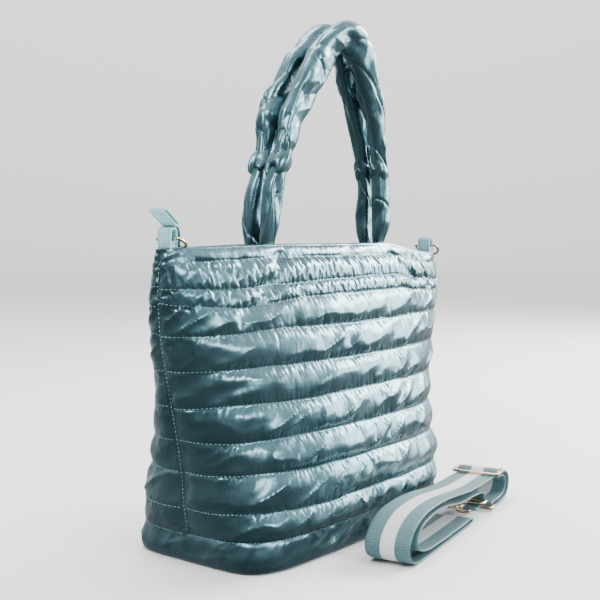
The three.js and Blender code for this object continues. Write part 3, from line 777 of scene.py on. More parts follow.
def handle_points(side, seed):
    inner_wall = RIM_DEPTH / 2 - WALL - TOUCH - TAPE_THICKNESS - TOUCH
    tail_y = inner_wall - LEG_DEPTH_IN_MOUTH / 2
    rows = [(-1.0, -HANDLE_TAIL / HANDLE_DROP, 16, LEG_DEPTH_IN_MOUTH, tail_y),
            (-1.0, 0.006, 16, LEG_DEPTH_IN_MOUTH, tail_y)]
    rows += [(x, z, w, d, (d + HANDLE_GAP) / 2 + 4) for x, z, w, d in HANDLE_STATIONS]
    rows += [(1.0, 0.006, 16, LEG_DEPTH_IN_MOUTH, tail_y),
             (1.0, -HANDLE_TAIL / HANDLE_DROP, 16, LEG_DEPTH_IN_MOUTH, tail_y)]
    rows = np.array(rows)
    centres = np.stack([HANDLE_CENTRE + rows[:, 0] * HANDLE_SPACING / 2, side * rows[:, 4],
                        RIM_HEIGHT + rows[:, 1] * HANDLE_DROP], -1)
    run = run_along(centres)
    at = np.linspace(0, run[-1], HANDLE_STEPS)
    step = run[-1] / HANDLE_STEPS
    path = np.stack([smoothed(column, 7 / step) for column in columns_at(at, run, centres).T], -1)
    width = smoothed(np.interp(at, run, rows[:, 2]), 5 / step)
    depth = smoothed(np.interp(at, run, rows[:, 3]), 5 / step)
    along = np.gradient(path, axis=0)
    along[:, 1] = 0
    along = unit(along)
    across = np.tile([0.0, 1.0, 0.0], (HANDLE_STEPS, 1))
    sideways = np.cross(across, along)

    s = np.broadcast_to(at[:, None], (HANDLE_STEPS, HANDLE_SIDES))
    share = np.broadcast_to(np.arange(HANDLE_SIDES)[None, :] / HANDLE_SIDES, s.shape)
    turn = 0.35 * noise(at / 70, at * 0, seed) + 0.15 * noise(at / 28, at * 0 + 5, seed)
    swell = 1 + 0.08 * noise(at / 45, at * 0 + 9, seed)
    angle = share * 2 * math.pi + 0.001
    x, y, out_x, out_y = on_section(angle, (width * swell * 0.52)[:, None], (depth / 2)[:, None], 3.4)
    loose = ((width - 12) / 15).clip(0.1, 1.1)[:, None]

    pinch = np.zeros_like(at)
    for knot_x, knot_z, _, _, _ in KNOTS:
        from_x = path[:, 0] - (HANDLE_CENTRE + knot_x * HANDLE_SPACING / 2)
        from_z = path[:, 2] - (RIM_HEIGHT + knot_z * HANDLE_DROP)
        pinch += np.exp(-np.hypot(from_x, from_z) / 15)
    pinch += np.exp(-at / 22) + np.exp(-(run[-1] - at) / 22)
    pinch = pinch.clip(0, 1)[:, None]
    lengthways = share * PLEATS + 0.012 * s + 0.5 * noise(s / 60, s * 0, seed + 2)
    pleat = ridge(noise(lengthways, s / 60, seed + 3, period=PLEATS), 1.3)
    long_fold = noise(share * 5 + 0.01 * s, s / 75, seed + 4, smooth=False, period=5)
    facets = noise(share * 5 - 0.02 * s, s / 25, seed + 5, smooth=False, period=5)
    small = noise(share * 9 + 0.05 * s, s / 14, seed + 6, smooth=False, period=9)
    folds = 0.9 * long_fold + 3.8 * facets * loose + 0.8 * small
    proud = 1.5 * pleat * pinch + (1 - 0.6 * pinch) * folds
    crease = noise(share * 4 + 0.015 * s, s / 50, seed + 7, period=4)
    proud = proud + 1.0 - 1.1 * np.exp(-(crease / 0.06) ** 2)
    at_ends = smoothstep(at, 0, 30) * smoothstep(run[-1] - at, 0, 30)
    proud = proud * (0.25 + 0.75 * at_ends[:, None])
    x = x + out_x * proud
    y = y + out_y * proud
    cos, sin = np.cos(turn)[:, None], np.sin(turn)[:, None]
    x, y = x * cos - y * sin, x * sin + y * cos
    points = path[:, None, :] + sideways[:, None, :] * x[..., None] + across[:, None, :] * y[..., None]
    keep = side * points[..., 1] < HANDLE_GAP / 2
    points[..., 1] = np.where(keep, side * HANDLE_GAP / 2, points[..., 1])
    return points


def knot_points(side, knot, seed):
    """One turn of fabric round the handle, with pleats along it."""
    x0, z0, lean, radius, fabric = knot
    rows, cols = 96, 48
    a, b = np.meshgrid(np.arange(rows) / rows, np.arange(cols) / cols, indexing="ij")
    big, small = a * 2 * math.pi, b * 2 * math.pi
    twist = b + 0.35 * np.sin(big + 0.6)
    proud = 1.3 * ridge(noise(twist * 5, a * 5, seed, period=5, period_y=5), 1.3)
    proud = proud + 0.9 * noise(twist * 4, a * 9, seed + 2, smooth=False, period=4, period_y=9)
    lobes = 1 + 0.2 * np.cos(big * 2 + 2.7) + 0.13 * np.cos(big * 3 + 0.4)
    minor = fabric * lobes - 0.6 + proud
    reach = radius + minor * np.cos(small)
    flat = np.stack([reach * np.cos(big), reach * np.sin(big), 1.9 * minor * np.sin(small)], -1)
    points = turned_y(flat, lean, (0, 0, 0))
    points[..., 1] *= KNOT_FLATTENING
    depth = (radius + fabric) * KNOT_FLATTENING
    return points + np.array([HANDLE_CENTRE + x0 * HANDLE_SPACING / 2, side * (depth + HANDLE_GAP),
                              RIM_HEIGHT + z0 * HANDLE_DROP])


def make_handles():
    for name, node, side, seed in (
            ("handle_front_fabric", "handle_front", -1, 1000),
            ("handle_rear_fabric", "handle_rear", 1, 1100)):
        parts = [(handle_points(side, seed), False)]
        for k, knot in enumerate(KNOTS):
            parts.append((knot_points(side, knot, seed + 20 + 5 * k), True))
        handle = tube_object(name, parts)
        ride_on_root(handle, "metallic_nylon", node)


make_handles()


# Leather loops, end tab and zipper tape
STRIP_STEP = 0.45
STRIP_SIDES = 56
TAPE_HEIGHT = 22
TAPE_BELOW_RIM = 1.5
TAPE_GAP = 3 / 56 * 2 * math.pi
TAPE_STEPS = 420
TONGUE_WIDTH = 13
TAB_LENGTH = 27
TAB_WIDTH = 18
TAB_LEATHER = 1.6
TAB_SLOPE = math.radians(39)
TAB_ABOVE_LOOP = 0.6
LOOP_WIDTH = 16
LOOP_HEIGHT = 19
LOOP_LEATHER = 2.2
LOOP_TUNNEL = 5
LOOP_FOOT = 7
LOOP_INSET = 7
LOOP_OUTER = LOOP_LEATHER + LOOP_TUNNEL / 2
LOOP_X = (RIM_SHIFT - RIM_LENGTH / 2 + LOOP_INSET + LOOP_OUTER,
          RIM_SHIFT + RIM_LENGTH / 2 - LOOP_INSET - LOOP_OUTER)
LOOP_Z = [RIM_HEIGHT - float(rim_drop_at(np.array(x))) + TOUCH for x in LOOP_X]
TONGUE_X = RIM_SHIFT - RIM_LENGTH / 2 + RIM_END_SEAM + TOUCH + 1.6 * TAPE_THICKNESS
TAB_HALF = TAPE_THICKNESS / 2 + TOUCH + TAB_LEATHER
TONGUE_BEND = LOOP_Z[0] + LOOP_HEIGHT - LOOP_OUTER + (
    LOOP_OUTER + TAB_HALF + TAB_ABOVE_LOOP - (TONGUE_X - LOOP_X[0]) * math.sin(TAB_SLOPE)
) / math.cos(TAB_SLOPE)


def strip_points(path, width, thickness, squareness=5.0):
    """A leather strip along a path in the XZ plane, with rounded edges."""
    path = np.asarray(path, float)
    run = run_along(path)
    at = np.linspace(0, run[-1], int(run[-1] / STRIP_STEP))
    flat = columns_at(at, run, path)
    centres = np.stack([flat[:, 0], 0 * flat[:, 0], flat[:, 1]], -1)
    along = np.gradient(centres, axis=0)
    along = unit(along)
    across = np.tile([0.0, 1.0, 0.0], (len(centres), 1))
    normal = np.cross(along, across)
    section = section_oval(width, thickness, STRIP_SIDES, squareness)
    return sweep(centres, across, normal, section), centres, normal


def stitch_row(centres, normals, y, offset):
    line = centres + normals * offset
    line[:, 1] = y
    return line, normals * np.sign(offset)


def make_loops():
    for end, x, z, name, node in (
            (0, LOOP_X[0], LOOP_Z[0], "loop_leather_left", "side_loop_left"),
            (1, LOOP_X[1], LOOP_Z[1], "loop_leather_right", "side_loop_right")):
        reach = LOOP_OUTER - LOOP_LEATHER / 2
        crown = LOOP_HEIGHT - LOOP_OUTER
        angles = np.linspace(math.pi, 0, 24)
        path = [(-reach, 0), (-reach, crown * 0.5)]
        path += [(reach * math.cos(a), crown + reach * math.sin(a)) for a in angles]
        path += [(reach, crown * 0.5), (reach, 0)]
        grid, centres, normals = strip_points(path, LOOP_WIDTH, LOOP_LEATHER)
        foot, _, _ = strip_points([(0, 0), (0, LOOP_FOOT)], LOOP_WIDTH - 0.8, LOOP_TUNNEL, squareness=7)
        at = np.array([x, 0, z])
        obj = tube_object(name, [(grid + at, False), (foot + at, False)])
        ride_on_root(obj, "pale_leather", node)
        rows = []
        for y in (-LOOP_WIDTH / 2 + 2.2, LOOP_WIDTH / 2 - 2.2):
            line, out = stitch_row(centres.copy(), normals, y, LOOP_LEATHER / 2)
            rows.append((line + at, out))
        stitch_object(f"loop_stitching_{'left' if end == 0 else 'right'}", rows, pitch=2.6,
                      length=1.8, radius=0.28, lift=0.05, slot="pale_leather")


make_loops()


def make_end_tab():
    outer = TAB_HALF
    middle = TAPE_THICKNESS / 2 + TOUCH + TAB_LEATHER / 2
    start, bend = 5, TAB_LENGTH - outer
    angles = np.linspace(math.pi / 2, -math.pi / 2, 20)
    path = [(start, middle)] + [(bend + middle * math.cos(a), middle * math.sin(a)) for a in angles]
    path += [(start, -middle)]
    grid, centres, normals = strip_points(path, TAB_WIDTH, TAB_LEATHER)
    at = (TONGUE_X, 0, TONGUE_BEND)
    tab = tube_object("end_tab_leather", [(turned_y(grid, TAB_SLOPE - math.pi, at), False)])
    ride_on_root(tab, "pale_leather", "zipper_end_tab")
    inset = 2.0
    rows = []
    for sign in (1, -1):
        x0, x1 = start + inset, TAB_LENGTH - inset - 1
        corners = [(x0, -1), (x0, 1), (x1, 1), (x1, -1), (x0, -1)]
        line = []
        for (xa, ya), (xb, yb) in zip(corners[:-1], corners[1:]):
            for s in np.linspace(0, 1, 12, endpoint=False):
                line.append((xa + (xb - xa) * s, (ya + (yb - ya) * s) * (TAB_WIDTH / 2 - inset),
                             sign * (outer - 0.02)))
        line = np.array(line)
        out = np.tile([0.0, 0.0, float(sign)], (len(line), 1))
        rows.append((turned_y(line, TAB_SLOPE - math.pi, at),
                     turned_y(out, TAB_SLOPE - math.pi, (0, 0, 0))))
    stitch_object("end_tab_stitching", rows, pitch=2.6, length=1.8, radius=0.26, lift=0.05,
                  slot="pale_leather")


make_end_tab()


def make_zipper():
    length, depth, middle, _ = half_sizes(1.0)
    inset = TOUCH + TAPE_THICKNESS / 2
    angles = np.linspace(TAPE_GAP, 2 * math.pi - TAPE_GAP, TAPE_STEPS)
    x, y, out_x, out_y = on_section(
        angles, length - RIM_END_SEAM - inset, depth - WALL - inset, INNER_SQUARENESS)
    x = x + middle
    top = RIM_HEIGHT - rim_drop_at(x) - TAPE_BELOW_RIM
    centres = np.stack([x, y, top - TAPE_HEIGHT / 2], -1)
    out = np.stack([out_x, out_y, 0 * out_x], -1)
    up = np.tile([0.0, 0.0, 1.0], (TAPE_STEPS, 1))
    section = section_oval(TAPE_THICKNESS, TAPE_HEIGHT, 40, 8)
    band = sweep(centres, out, up, section)
    reach = TAB_LENGTH - 2 * TAB_LEATHER - TOUCH
    low = RIM_HEIGHT - float(rim_drop_at(np.array(RIM_SHIFT - RIM_LENGTH / 2 + RIM_END_SEAM)))
    low -= TAPE_BELOW_RIM + TAPE_HEIGHT
    tip = (TONGUE_X - reach * math.cos(TAB_SLOPE), TONGUE_BEND + reach * math.sin(TAB_SLOPE))
    bend = [(TONGUE_X, low), (TONGUE_X, TONGUE_BEND - 4), (TONGUE_X - 0.7, TONGUE_BEND - 1.3),
            (TONGUE_X - 2.4, TONGUE_BEND + 1.8), tip]
    tongue, _, _ = strip_points(bend, TONGUE_WIDTH, TAPE_THICKNESS, squareness=7)
    tape = tube_object("zipper_tape_woven", [(band, False), (tongue, False)])
    ride_on_root(tape, "zipper_tape", "zipper_tape")


make_zipper()


# D-rings
RING_WIRE = 3
RING_WIDTH = 25
RING_ARM = 4
RING_REST = (math.radians(23), math.radians(36))


def make_rings():
    half = (RING_WIDTH + RING_WIRE) / 2
    arc = [(RING_ARM + half * math.cos(a), half * math.sin(a))
           for a in np.linspace(-math.pi / 2, math.pi / 2, 56)]
    corner = rounded_path([(0, half), (0, -half), (30, -half), (30, half)], 2.4, 9)
    bar = corner[:18]
    straight = np.stack([np.zeros(20), np.linspace(half - 3, -half + 3, 20)], -1)
    path = np.concatenate([bar[:9], straight, bar[9:18], np.array(arc)[1:-1]])
    section = section_oval(RING_WIRE, RING_WIRE, 22)
    for x, z, rest, name, node, body in (
            (LOOP_X[0], LOOP_Z[0], RING_REST[0], "ring_left_wire", "d_ring_left", "left_ring"),
            (LOOP_X[1], LOOP_Z[1], RING_REST[1], "ring_right_wire", "d_ring_right", "right_ring")):
        rise = LOOP_FOOT + TOUCH + RING_WIRE / 2
        ring = tube_object(name, [(turned_y(flat_wire(path, section), rest, (x, 0, z + rise)), True)])
        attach(ring, body)
        SLOT_OF[ring.name] = "gold_metal"
        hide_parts(node)


make_rings()


# Shoulder strap, in its own upright plane: s along the bundle, across, z up
STRAP_WIDTH = 44
STRAP_THICKNESS = 1.6
STRAP_RUN = 290
STRAP_HEIGHT = 38
STRAP_ANGLE = math.radians(9)
STRAP_AT = (-76, -BASE_DEPTH / 2 - 82)
FITTING_WIRE = 3.5
FITTING_PLAY = 0.6
SLIDE_PLATE = 3
SLIDE_BAR = 4
SLIDE_SLOT = 9
SLIDE_S = 0.862 * STRAP_RUN
SLIDE_RISE = 36.5
FLOOR_LAYER = STRAP_THICKNESS / 2 + 0.1
FOLD_RADIUS = FITTING_WIRE / 2 + TOUCH + STRAP_THICKNESS / 2
CLASP_A = (0.7 * STRAP_RUN, 15.5)
CLASP_B = (0.8 * STRAP_RUN, FLOOR_LAYER + FOLD_RADIUS)
CLASP_RING = 12
CLASP_POST = 5
CLASP_HOOK = 22
CLASP_HOOK_WIDTH = 15
FOLD_END = 24
FITTING_HALF = STRAP_WIDTH / 2 + FITTING_PLAY


def on_floor(points):
    """From the strap's own frame to the scene's."""
    cos, sin = math.cos(STRAP_ANGLE), math.sin(STRAP_ANGLE)
    s, across, z = points[..., 0], points[..., 1], points[..., 2]
    return np.stack([STRAP_AT[0] + s * cos - across * sin, STRAP_AT[1] + s * sin + across * cos, z], -1)


def strap_route():
    quarter = math.pi / 2
    under = SLIDE_RISE - SLIDE_PLATE / 2 - TOUCH - STRAP_THICKNESS / 2
    over = SLIDE_RISE + SLIDE_PLATE / 2 + TOUCH + STRAP_THICKNESS / 2
    edge = SLIDE_BAR / 2 + SLIDE_SLOT

    def run(rows):
        return [(s * STRAP_RUN, z * STRAP_HEIGHT) for s, z in rows]

    def fold(bar, start, end):
        return [(bar[0] + FOLD_RADIUS * math.cos(a), bar[1] + FOLD_RADIUS * math.sin(a))
                for a in np.linspace(start, end, 5)]

    sewn_end = [(SLIDE_S, under - 3.4), (SLIDE_S + edge, under - 3.6)]
    inner_far_bend = run([(0.945, 0.72), (0.963, 0.5), (0.94, 0.27), (0.9, 0.2)])
    outer_far_bend = run(
        [(0.83, 0.024), (0.9, 0.03), (0.965, 0.13), (0.995, 0.35), (1.0, 0.58), (0.978, 0.78)])
    through_slide = [
        (SLIDE_S + edge + 5, under + 0.1), (SLIDE_S + edge - 1.2, under),
        (SLIDE_S + SLIDE_BAR / 2 + 1, over - 0.5), (SLIDE_S, over),
        (SLIDE_S - SLIDE_BAR / 2 - 1, over - 0.5), (SLIDE_S - edge + 1.2, under),
        (SLIDE_S - edge - 5, under - 0.1)]
    top_run = run([(0.75, 0.9), (0.64, 0.9), (0.53, 0.95), (0.42, 1.04), (0.31, 1.12), (0.2, 1.14),
                   (0.1, 1.06)])
    outer_near_bend = run([(0.035, 0.86), (0.004, 0.6), (0.002, 0.36), (0.03, 0.14), (0.08, 0.03)])
    floor_run = run([(0.16, 0.024), (0.3, 0.024), (0.44, 0.024), (0.54, 0.024)])
    lower_fold = run([(0.572, 0.05), (0.582, 0.1), (0.568, 0.155)])
    inner_run = run([(0.5, 0.15), (0.4, 0.15), (0.3, 0.15), (0.2, 0.17)])
    inner_near_bend = run([(0.115, 0.24), (0.066, 0.42), (0.062, 0.63), (0.1, 0.84), (0.17, 0.95)])
    second_run = run([(0.26, 0.98), (0.36, 0.9), (0.46, 0.78), (0.56, 0.74), (0.65, 0.7)])
    to_clasp = [(CLASP_A[0] + 1, CLASP_A[1] + 7.5)]
    sewn_back = [(CLASP_A[0] - 6, CLASP_A[1] - FOLD_RADIUS),
                 (CLASP_A[0] - FOLD_END, CLASP_A[1] - FOLD_RADIUS - 1.5)]
    return np.array(
        sewn_end + inner_far_bend + fold(CLASP_B, quarter, 3 * quarter) + outer_far_bend
        + through_slide + top_run + outer_near_bend + floor_run + lower_fold + inner_run
        + inner_near_bend + second_run + to_clasp + fold(CLASP_A, 0.35 * quarter, -quarter)
        + sewn_back)


def smooth_route(points, per_span):
    """A centripetal Catmull-Rom curve through points."""
    ends = np.concatenate([[2 * points[0] - points[1]], points, [2 * points[-1] - points[-2]]])
    curve = []
    for i in range(len(points) - 1):
        p = ends[i:i + 4]
        gaps = np.linalg.norm(np.diff(p, axis=0), axis=1) ** 0.5
        knots = np.concatenate([[0], np.cumsum(np.maximum(gaps, 1e-4))])
        for s in np.arange(per_span) / per_span:
            t = knots[1] + (knots[2] - knots[1]) * s
            row = blended_pairs(p, knots, t, 0, 1)
            row = blended_pairs(row, knots, t, 0, 2)
            curve.append(blended_pairs(row, knots, t, 1, 1)[0])
    curve.append(points[-1])
    return np.array(curve)


def blended_pairs(row, knots, t, first, apart):
    """One level of the Catmull-Rom pyramid: each pair blended between two knots."""
    blended = []
    for k in range(len(row) - 1):
        low, high = knots[first + k], knots[first + k + apart]
        blended.append(((high - t) * row[k] + (t - low) * row[k + 1]) / (high - low))
    return blended


def make_webbing():
    route = smooth_route(strap_route(), 12)
    route[:, 1] = np.maximum(route[:, 1], FLOOR_LAYER)
    run = run_along(route)
    along = np.gradient(route, axis=0)
    along = unit(along)
    up = np.stack([-along[:, 1], 0 * along[:, 0], along[:, 0]], -1)
    across = np.tile([0.0, 1.0, 0.0], (len(route), 1))
    columns = 26
    w = np.linspace(0, 1, columns)
    half = STRAP_THICKNESS / 2
    edge = half * (1 - np.clip(1 - np.minimum(w, 1 - w) * STRAP_WIDTH / half, 0, 1) ** 2) ** 0.5
    edge = np.maximum(edge, 0.3)
    section = np.concatenate([
        np.stack([w * STRAP_WIDTH, edge], -1), np.stack([w[::-1] * STRAP_WIDTH, -edge[::-1]], -1)])
    centres = np.stack([route[:, 0], 0 * route[:, 0], route[:, 1]], -1)
    points = sweep(centres, across, up, section)
    u = np.concatenate([w, w[::-1]])
    ripple = 0.22 * noise(run[:, None] / 17 + 0 * u, u[None, :] * 2.6 + 0 * run[:, None], 1300)
    points = points + up[:, None, :] * ripple[..., None]
    points[..., 2] = np.maximum(points[..., 2], 0.05)
    uv = np.stack([np.broadcast_to(u, points.shape[:2]),
                   np.broadcast_to(run[:, None] * MM, points.shape[:2])], -1)
    webbing = tube_object("strap_woven", [(on_floor(points), False)], uv)
    ride_on_root(webbing, "striped_webbing", "strap_webbing")


make_webbing()


def make_slide():
    half_length = SLIDE_BAR + SLIDE_SLOT
    half_width = FITTING_HALF + SLIDE_BAR / 2
    section = section_oval(SLIDE_BAR, SLIDE_PLATE, 28, 3.4)
    corners = [(-half_length, -half_width), (half_length, -half_width),
               (half_length, half_width), (-half_length, half_width)]
    frame_wire = flat_wire(rounded_path(corners, 3, 9), section)
    bar_y = np.linspace(-half_width, half_width, 12)
    centres = np.stack([0 * bar_y, bar_y, 0 * bar_y], -1)
    bar = sweep(centres, np.tile([1.0, 0, 0], (12, 1)), np.tile([0, 0, 1.0], (12, 1)), section)
    at = np.array([SLIDE_S, STRAP_WIDTH / 2, SLIDE_RISE])
    slide = tube_object("slide_buckle", [(on_floor(frame_wire + at), True), (on_floor(bar + at), False)])
    ride_on_root(slide, "gold_metal", "strap_slide")


make_slide()


def make_clasp(name, node, place):
    radius = FITTING_WIRE / 2
    half_width = FITTING_HALF + radius
    section = section_oval(FITTING_WIRE, FITTING_WIRE, 18)
    frame_wire = flat_wire(rounded_path(
        [(0, -half_width), (0, half_width), (-CLASP_RING, half_width), (-CLASP_RING, -half_width)],
        2.2, 8), section)
    profile = [(0, 0.4), (0, 1.25), (1.4, 1.45), (2.2, 1.0), (4.6, 1.0), (5.2, 1.35), (7.4, 1.4),
               (8.5, 1.0), (8.5, 0.4)]
    post_x = np.array([-CLASP_RING - x for x, _ in profile])
    turn = np.arange(20) / 20 * 2 * math.pi
    post = np.stack([np.stack([
        np.full(20, x), size * radius * 1.15 * np.cos(turn), size * radius * 1.15 * np.sin(turn)], -1)
        for x, (_, size) in zip(post_x, profile)])
    middle = -CLASP_RING - CLASP_POST - CLASP_HOOK / 2
    a = np.arange(72) / 72 * 2 * math.pi
    hook_y = CLASP_HOOK_WIDTH / 2 * np.sin(a) * (1 - 0.12 * np.cos(a))
    hook = flat_wire(np.stack([middle + CLASP_HOOK / 2 * np.cos(a), hook_y], -1), section)
    at = np.array([place[0], STRAP_WIDTH / 2, place[1]])
    clasp = tube_object(name, [(on_floor(frame_wire + at), True), (on_floor(post + at), False),
                               (on_floor(hook + at), True)])
    ride_on_root(clasp, "gold_metal", node)


make_clasp("clasp_a_metal", "strap_clasp_a", CLASP_A)
make_clasp("clasp_b_metal", "strap_clasp_b", CLASP_B)


# Materials
def new_material(name, color, metallic=0.0, roughness=0.5, coat=0.0, coat_roughness=0.1, sheen=0.0):
    made = bpy.data.materials.new(name)
    made.use_nodes = True
    shader = made.node_tree.nodes["Principled BSDF"]
    shader.inputs["Base Color"].default_value = (*color, 1)
    shader.inputs["Metallic"].default_value = metallic
    shader.inputs["Roughness"].default_value = roughness
    shader.inputs["Coat Weight"].default_value = coat
    shader.inputs["Coat Roughness"].default_value = coat_roughness
    shader.inputs["Sheen Weight"].default_value = sheen
    return made, shader


def add_node(made, kind, inputs=(), **settings):
    added = made.node_tree.nodes.new(kind)
    for key, value in settings.items():
        setattr(added, key, value)
    for key, value in dict(inputs).items():
        if isinstance(value, bpy.types.NodeSocket):
            made.node_tree.links.new(value, added.inputs[key])
        else:
            added.inputs[key].default_value = value
    return added


def coordinates(made, kind="Object"):
    return add_node(made, "ShaderNodeTexCoord").outputs[kind]


def noise_value(made, vector, scale, detail=3.0, **settings):
    made_noise = add_node(
        made, "ShaderNodeTexNoise", {"Vector": vector, "Scale": scale, "Detail": detail}, **settings)
    return made_noise.outputs["Fac"]


def spread(made, value, low, high, from_low=0.3, from_high=0.7):
    return add_node(made, "ShaderNodeMapRange", {
        "Value": value, "From Min": from_low, "From Max": from_high, "To Min": low, "To Max": high,
    }).outputs["Result"]


def blend_colors(made, factor, first, second):
    mix = add_node(made, "ShaderNodeMix", data_type="RGBA")
    for socket, value in ((mix.inputs[0], factor), (mix.inputs[6], first), (mix.inputs[7], second)):
        if isinstance(value, bpy.types.NodeSocket):
            made.node_tree.links.new(value, socket)
        else:
            socket.default_value = value if isinstance(value, float) else (*value, 1)
    return mix.outputs[2]


def add_bumps(made, shader, bumps):
    """bumps are (height socket, strength, distance in metres), from coarse to fine."""
    normal = None
    for height, strength, distance in bumps:
        inputs = {"Height": height, "Strength": strength, "Distance": distance}
        if normal is not None:
            inputs["Normal"] = normal
        normal = add_node(made, "ShaderNodeBump", inputs).outputs["Normal"]
    made.node_tree.links.new(normal, shader.inputs["Normal"])


def into(made, shader, name, socket):
    made.node_tree.links.new(socket, shader.inputs[name])


def mottle(made, shader, place, scale, detail, first, second):
    """Mixes two colours in soft patches for the base colour."""
    patches = spread(made, noise_value(made, place, scale, detail), 0.0, 1.0)
    into(made, shader, "Base Color", blend_colors(made, patches, first, second))


def fill_ramp(ramp, stops):
    """Sets a colour ramp from (position, colour) pairs in order."""
    elements = ramp.color_ramp.elements
    for k in (0, -1):
        elements[k].position = stops[k][0]
        elements[k].color = (*stops[k][1], 1)
    for position, color in stops[1:-1]:
        elements.new(position).color = (*color, 1)


def nylon_material():
    made, shader = new_material(
        "metallic_nylon_film", (0.2, 0.36, 0.42), metallic=0.95, roughness=0.27, coat=0.35,
        coat_roughness=0.16)
    place = coordinates(made)
    mottle(made, shader, place, 14, 2, (0.055, 0.135, 0.16), (0.1, 0.2, 0.235))
    into(made, shader, "Roughness", spread(made, noise_value(made, place, 55, 4), 0.24, 0.4))
    creases = noise_value(made, place, 70, 4, noise_type="RIDGED_MULTIFRACTAL")
    add_bumps(made, shader, [
        (noise_value(made, place, 110, 2), 0.14, 0.0016),
        (creases, 0.05, 0.001),
        (noise_value(made, place, 480, 3), 0.12, 0.0004),
        (noise_value(made, place, 2600, 2), 0.1, 0.0001),
    ])
    return made


def leather_material():
    made, shader = new_material(
        "pale_leather_grain", (0.27, 0.53, 0.57), roughness=0.45, coat=0.08, coat_roughness=0.35)
    place = coordinates(made)
    mottle(made, shader, place, 90, 3, (0.23, 0.48, 0.53), (0.33, 0.6, 0.63))
    into(made, shader, "Roughness", spread(made, noise_value(made, place, 240, 3), 0.38, 0.55))
    cells = add_node(made, "ShaderNodeTexVoronoi", {"Vector": place, "Scale": 1300.0})
    add_bumps(made, shader, [
        (noise_value(made, place, 160, 2), 0.2, 0.0006), (cells.outputs["Distance"], 0.3, 0.00018)])
    return made


def weave_height(made, vector, across, along):
    sets = add_node(made, "ShaderNodeTexWave", {"Vector": vector, "Scale": across},
                    bands_direction="X", wave_profile="SIN")
    other = add_node(made, "ShaderNodeTexWave", {"Vector": vector, "Scale": along},
                     bands_direction="Y", wave_profile="SIN")
    both = add_node(made, "ShaderNodeMath", operation="MULTIPLY")
    made.node_tree.links.new(sets.outputs["Fac"], both.inputs[0])
    made.node_tree.links.new(other.outputs["Fac"], both.inputs[1])
    return both.outputs["Value"]


def webbing_material():
    made, shader = new_material("striped_webbing_weave", (0.25, 0.5, 0.53), roughness=0.5, sheen=0.06)
    uv = coordinates(made, "UV")
    split = add_node(made, "ShaderNodeSeparateXYZ", {"Vector": uv})
    ramp = add_node(made, "ShaderNodeValToRGB", {"Fac": split.outputs["X"]})
    teal, white = (0.025, 0.125, 0.145), (0.8, 0.8, 0.8)
    fill_ramp(ramp, [(0.335, teal), (0.35, white), (0.65, white), (0.665, teal)])
    scaled = add_node(made, "ShaderNodeVectorMath", {0: uv, 1: (STRAP_WIDTH * MM, 1.0, 1.0)},
                      operation="MULTIPLY")
    weave = weave_height(made, scaled.outputs["Vector"], 160.0, 130.0)
    fleck = noise_value(made, coordinates(made), 900, 2)
    shade = blend_colors(made, spread(made, fleck, 0.0, 0.22), ramp.outputs["Color"], (0.5, 0.62, 0.63))
    # Painted shade: the stripe colour is multiplied darker where the weave's height is low, in the
    # hollows between threads
    weave_hollow_shade = add_node(made, "ShaderNodeMix", data_type="RGBA", blend_type="MULTIPLY")
    made.node_tree.links.new(spread(made, weave, 0.45, 0.0, 0.0, 0.6), weave_hollow_shade.inputs[0])
    made.node_tree.links.new(shade, weave_hollow_shade.inputs[6])
    weave_hollow_shade.inputs[7].default_value = (0.45, 0.5, 0.5, 1)
    into(made, shader, "Base Color", weave_hollow_shade.outputs[2])
    into(made, shader, "Roughness", spread(made, fleck, 0.34, 0.52))
    add_bumps(made, shader, [
        (noise_value(made, coordinates(made), 130, 3), 0.3, 0.0008), (weave, 0.6, 0.0004)])
    return made


def tape_material():
    made, shader = new_material("zipper_tape_weave", (0.06, 0.13, 0.16), roughness=0.75, sheen=0.15)
    place = coordinates(made)
    mottle(made, shader, place, 300, 3, (0.05, 0.11, 0.13), (0.09, 0.18, 0.21))
    add_bumps(made, shader, [(weave_height(made, place, 400.0, 400.0), 0.5, 0.0002)])
    return made


def gold_material():
    made, shader = new_material("gold_plating", (0.86, 0.6, 0.42), metallic=1.0, roughness=0.18)
    place = coordinates(made)
    mottle(made, shader, place, 160, 3, (0.78, 0.52, 0.36), (0.9, 0.68, 0.5))
    into(made, shader, "Roughness", spread(made, noise_value(made, place, 500, 4), 0.12, 0.3))
    add_bumps(made, shader, [(noise_value(made, place, 700, 3), 0.1, 0.0001)])
    return made


def thread_material():
    made, shader = new_material("sewing_thread", (0.3, 0.5, 0.54), roughness=0.5, sheen=0.1)
    place = coordinates(made)
    twist = add_node(made, "ShaderNodeTexWave", {"Vector": place, "Scale": 700.0},
                     bands_direction="DIAGONAL")
    mottle(made, shader, place, 200, 2, (0.06, 0.16, 0.19), (0.18, 0.35, 0.39))
    add_bumps(made, shader, [(twist.outputs["Fac"], 0.5, 0.0001)])
    return made


FINISHES = {
    "metallic_nylon": nylon_material(),
    "pale_leather": leather_material(),
    "striped_webbing": webbing_material(),
    "zipper_tape": tape_material(),
    "gold_metal": gold_material(),
}
THREAD = thread_material()


def dress_all():
    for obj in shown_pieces():
        if obj.type != "MESH":
            continue
        obj.data.materials.clear()
        if "stitching" in obj.name:
            obj.data.materials.append(THREAD)
            continue
        obj.data.materials.append(FINISHES[SLOT_OF[obj.name]])


# Floor and light
FLOOR_RADIUS = 7000
FLOOR_SIDES = 160
# From low behind the camera to high beyond the bag: share of the way, colour
SURROUNDINGS = [
    (0.0, (0.14, 0.15, 0.16)),
    (0.45, (0.32, 0.33, 0.34)),
    (0.68, (0.75, 0.76, 0.77)),
    (0.8, (1.5, 1.5, 1.5)),
    (1.0, (2.1, 2.1, 2.1)),
]
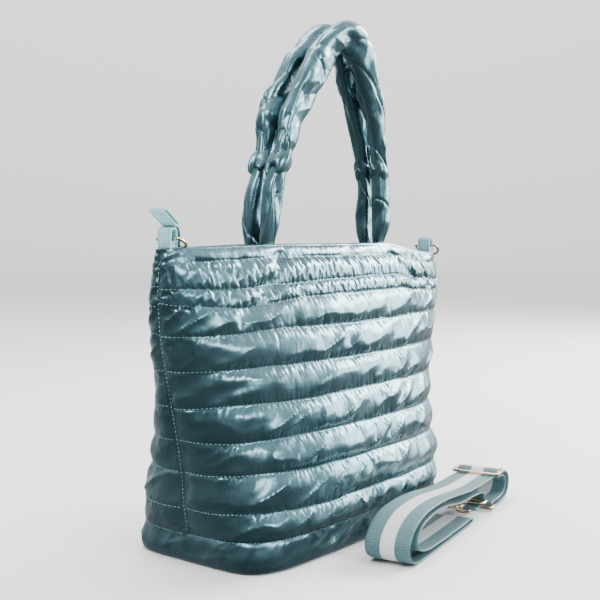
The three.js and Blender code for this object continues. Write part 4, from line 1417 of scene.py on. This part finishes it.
# Place, the point it faces, size and power, in metres and watts
LAMPS = {
    "right": ((2.0, -0.5, 1.35), (0, 0, 0.15), (1.3, 0.6), 85),
    "low_right": ((2.3, -1.35, 0.7), (0, 0, 0.15), (1.5, 0.9), 55),
    "left": ((-1.3, -0.2, 1.5), (0, 0, 0.2), (0.6, 0.5), 24),
    "front": ((-0.1, -2.2, 1.3), (0, 0, 0.15), (0.9, 0.6), 34),
    "top": ((0.3, 0.6, 2.2), (0, 0, 0.2), (1.2, 0.6), 30),
}


def make_stage():
    turn = np.arange(FLOOR_SIDES) / FLOOR_SIDES * 2 * math.pi
    edge = np.stack([FLOOR_RADIUS * np.cos(turn), FLOOR_RADIUS * np.sin(turn), 0 * turn], -1)
    floor = mesh_object("floor", edge, [list(range(FLOOR_SIDES))], smooth=False)
    floor.visible_glossy = False
    floor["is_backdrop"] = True
    paint, shader = new_material("floor_paint", (0.9, 0.9, 0.9), roughness=0.85)
    place = coordinates(paint)
    into(paint, shader, "Roughness", spread(paint, noise_value(paint, place, 6, 3), 0.8, 0.9))
    floor.data.materials.append(paint)


def area_light(name, at, aim, size, power):
    data = bpy.data.lights.new(name, "AREA")
    data.shape = "RECTANGLE"
    data.size, data.size_y = size
    data.energy = power
    light = bpy.data.objects.new(name, data)
    light.location = at
    direction = mathutils.Vector(aim) - mathutils.Vector(at)
    light.rotation_euler = direction.to_track_quat("-Z", "Y").to_euler()
    bpy.context.scene.collection.objects.link(light)


def make_lights():
    world = bpy.context.scene.world or bpy.data.worlds.new("world")
    bpy.context.scene.world = world
    world.use_nodes = True
    world.node_tree.nodes.clear()
    azimuth = math.radians(CAMERA_AZIMUTH)
    brightest = (-0.6 * math.sin(azimuth), 0.6 * math.cos(azimuth), 0.8)
    facing = add_node(world, "ShaderNodeVectorMath", {
        0: coordinates(world, "Generated"), 1: brightest}, operation="DOT_PRODUCT")
    share = add_node(world, "ShaderNodeMapRange", {"Value": facing.outputs["Value"], "From Min": -1.0})
    ramp = add_node(world, "ShaderNodeValToRGB", {"Fac": share.outputs["Result"]})
    fill_ramp(ramp, SURROUNDINGS)
    background = add_node(world, "ShaderNodeBackground", {
        "Color": ramp.outputs["Color"], "Strength": 1.0})
    add_node(world, "ShaderNodeOutputWorld", {"Surface": background.outputs["Background"]})
    for name, (at, aim, size, power) in LAMPS.items():
        area_light(name, at, aim, size, power)


make_stage()
make_lights()
dress_all()
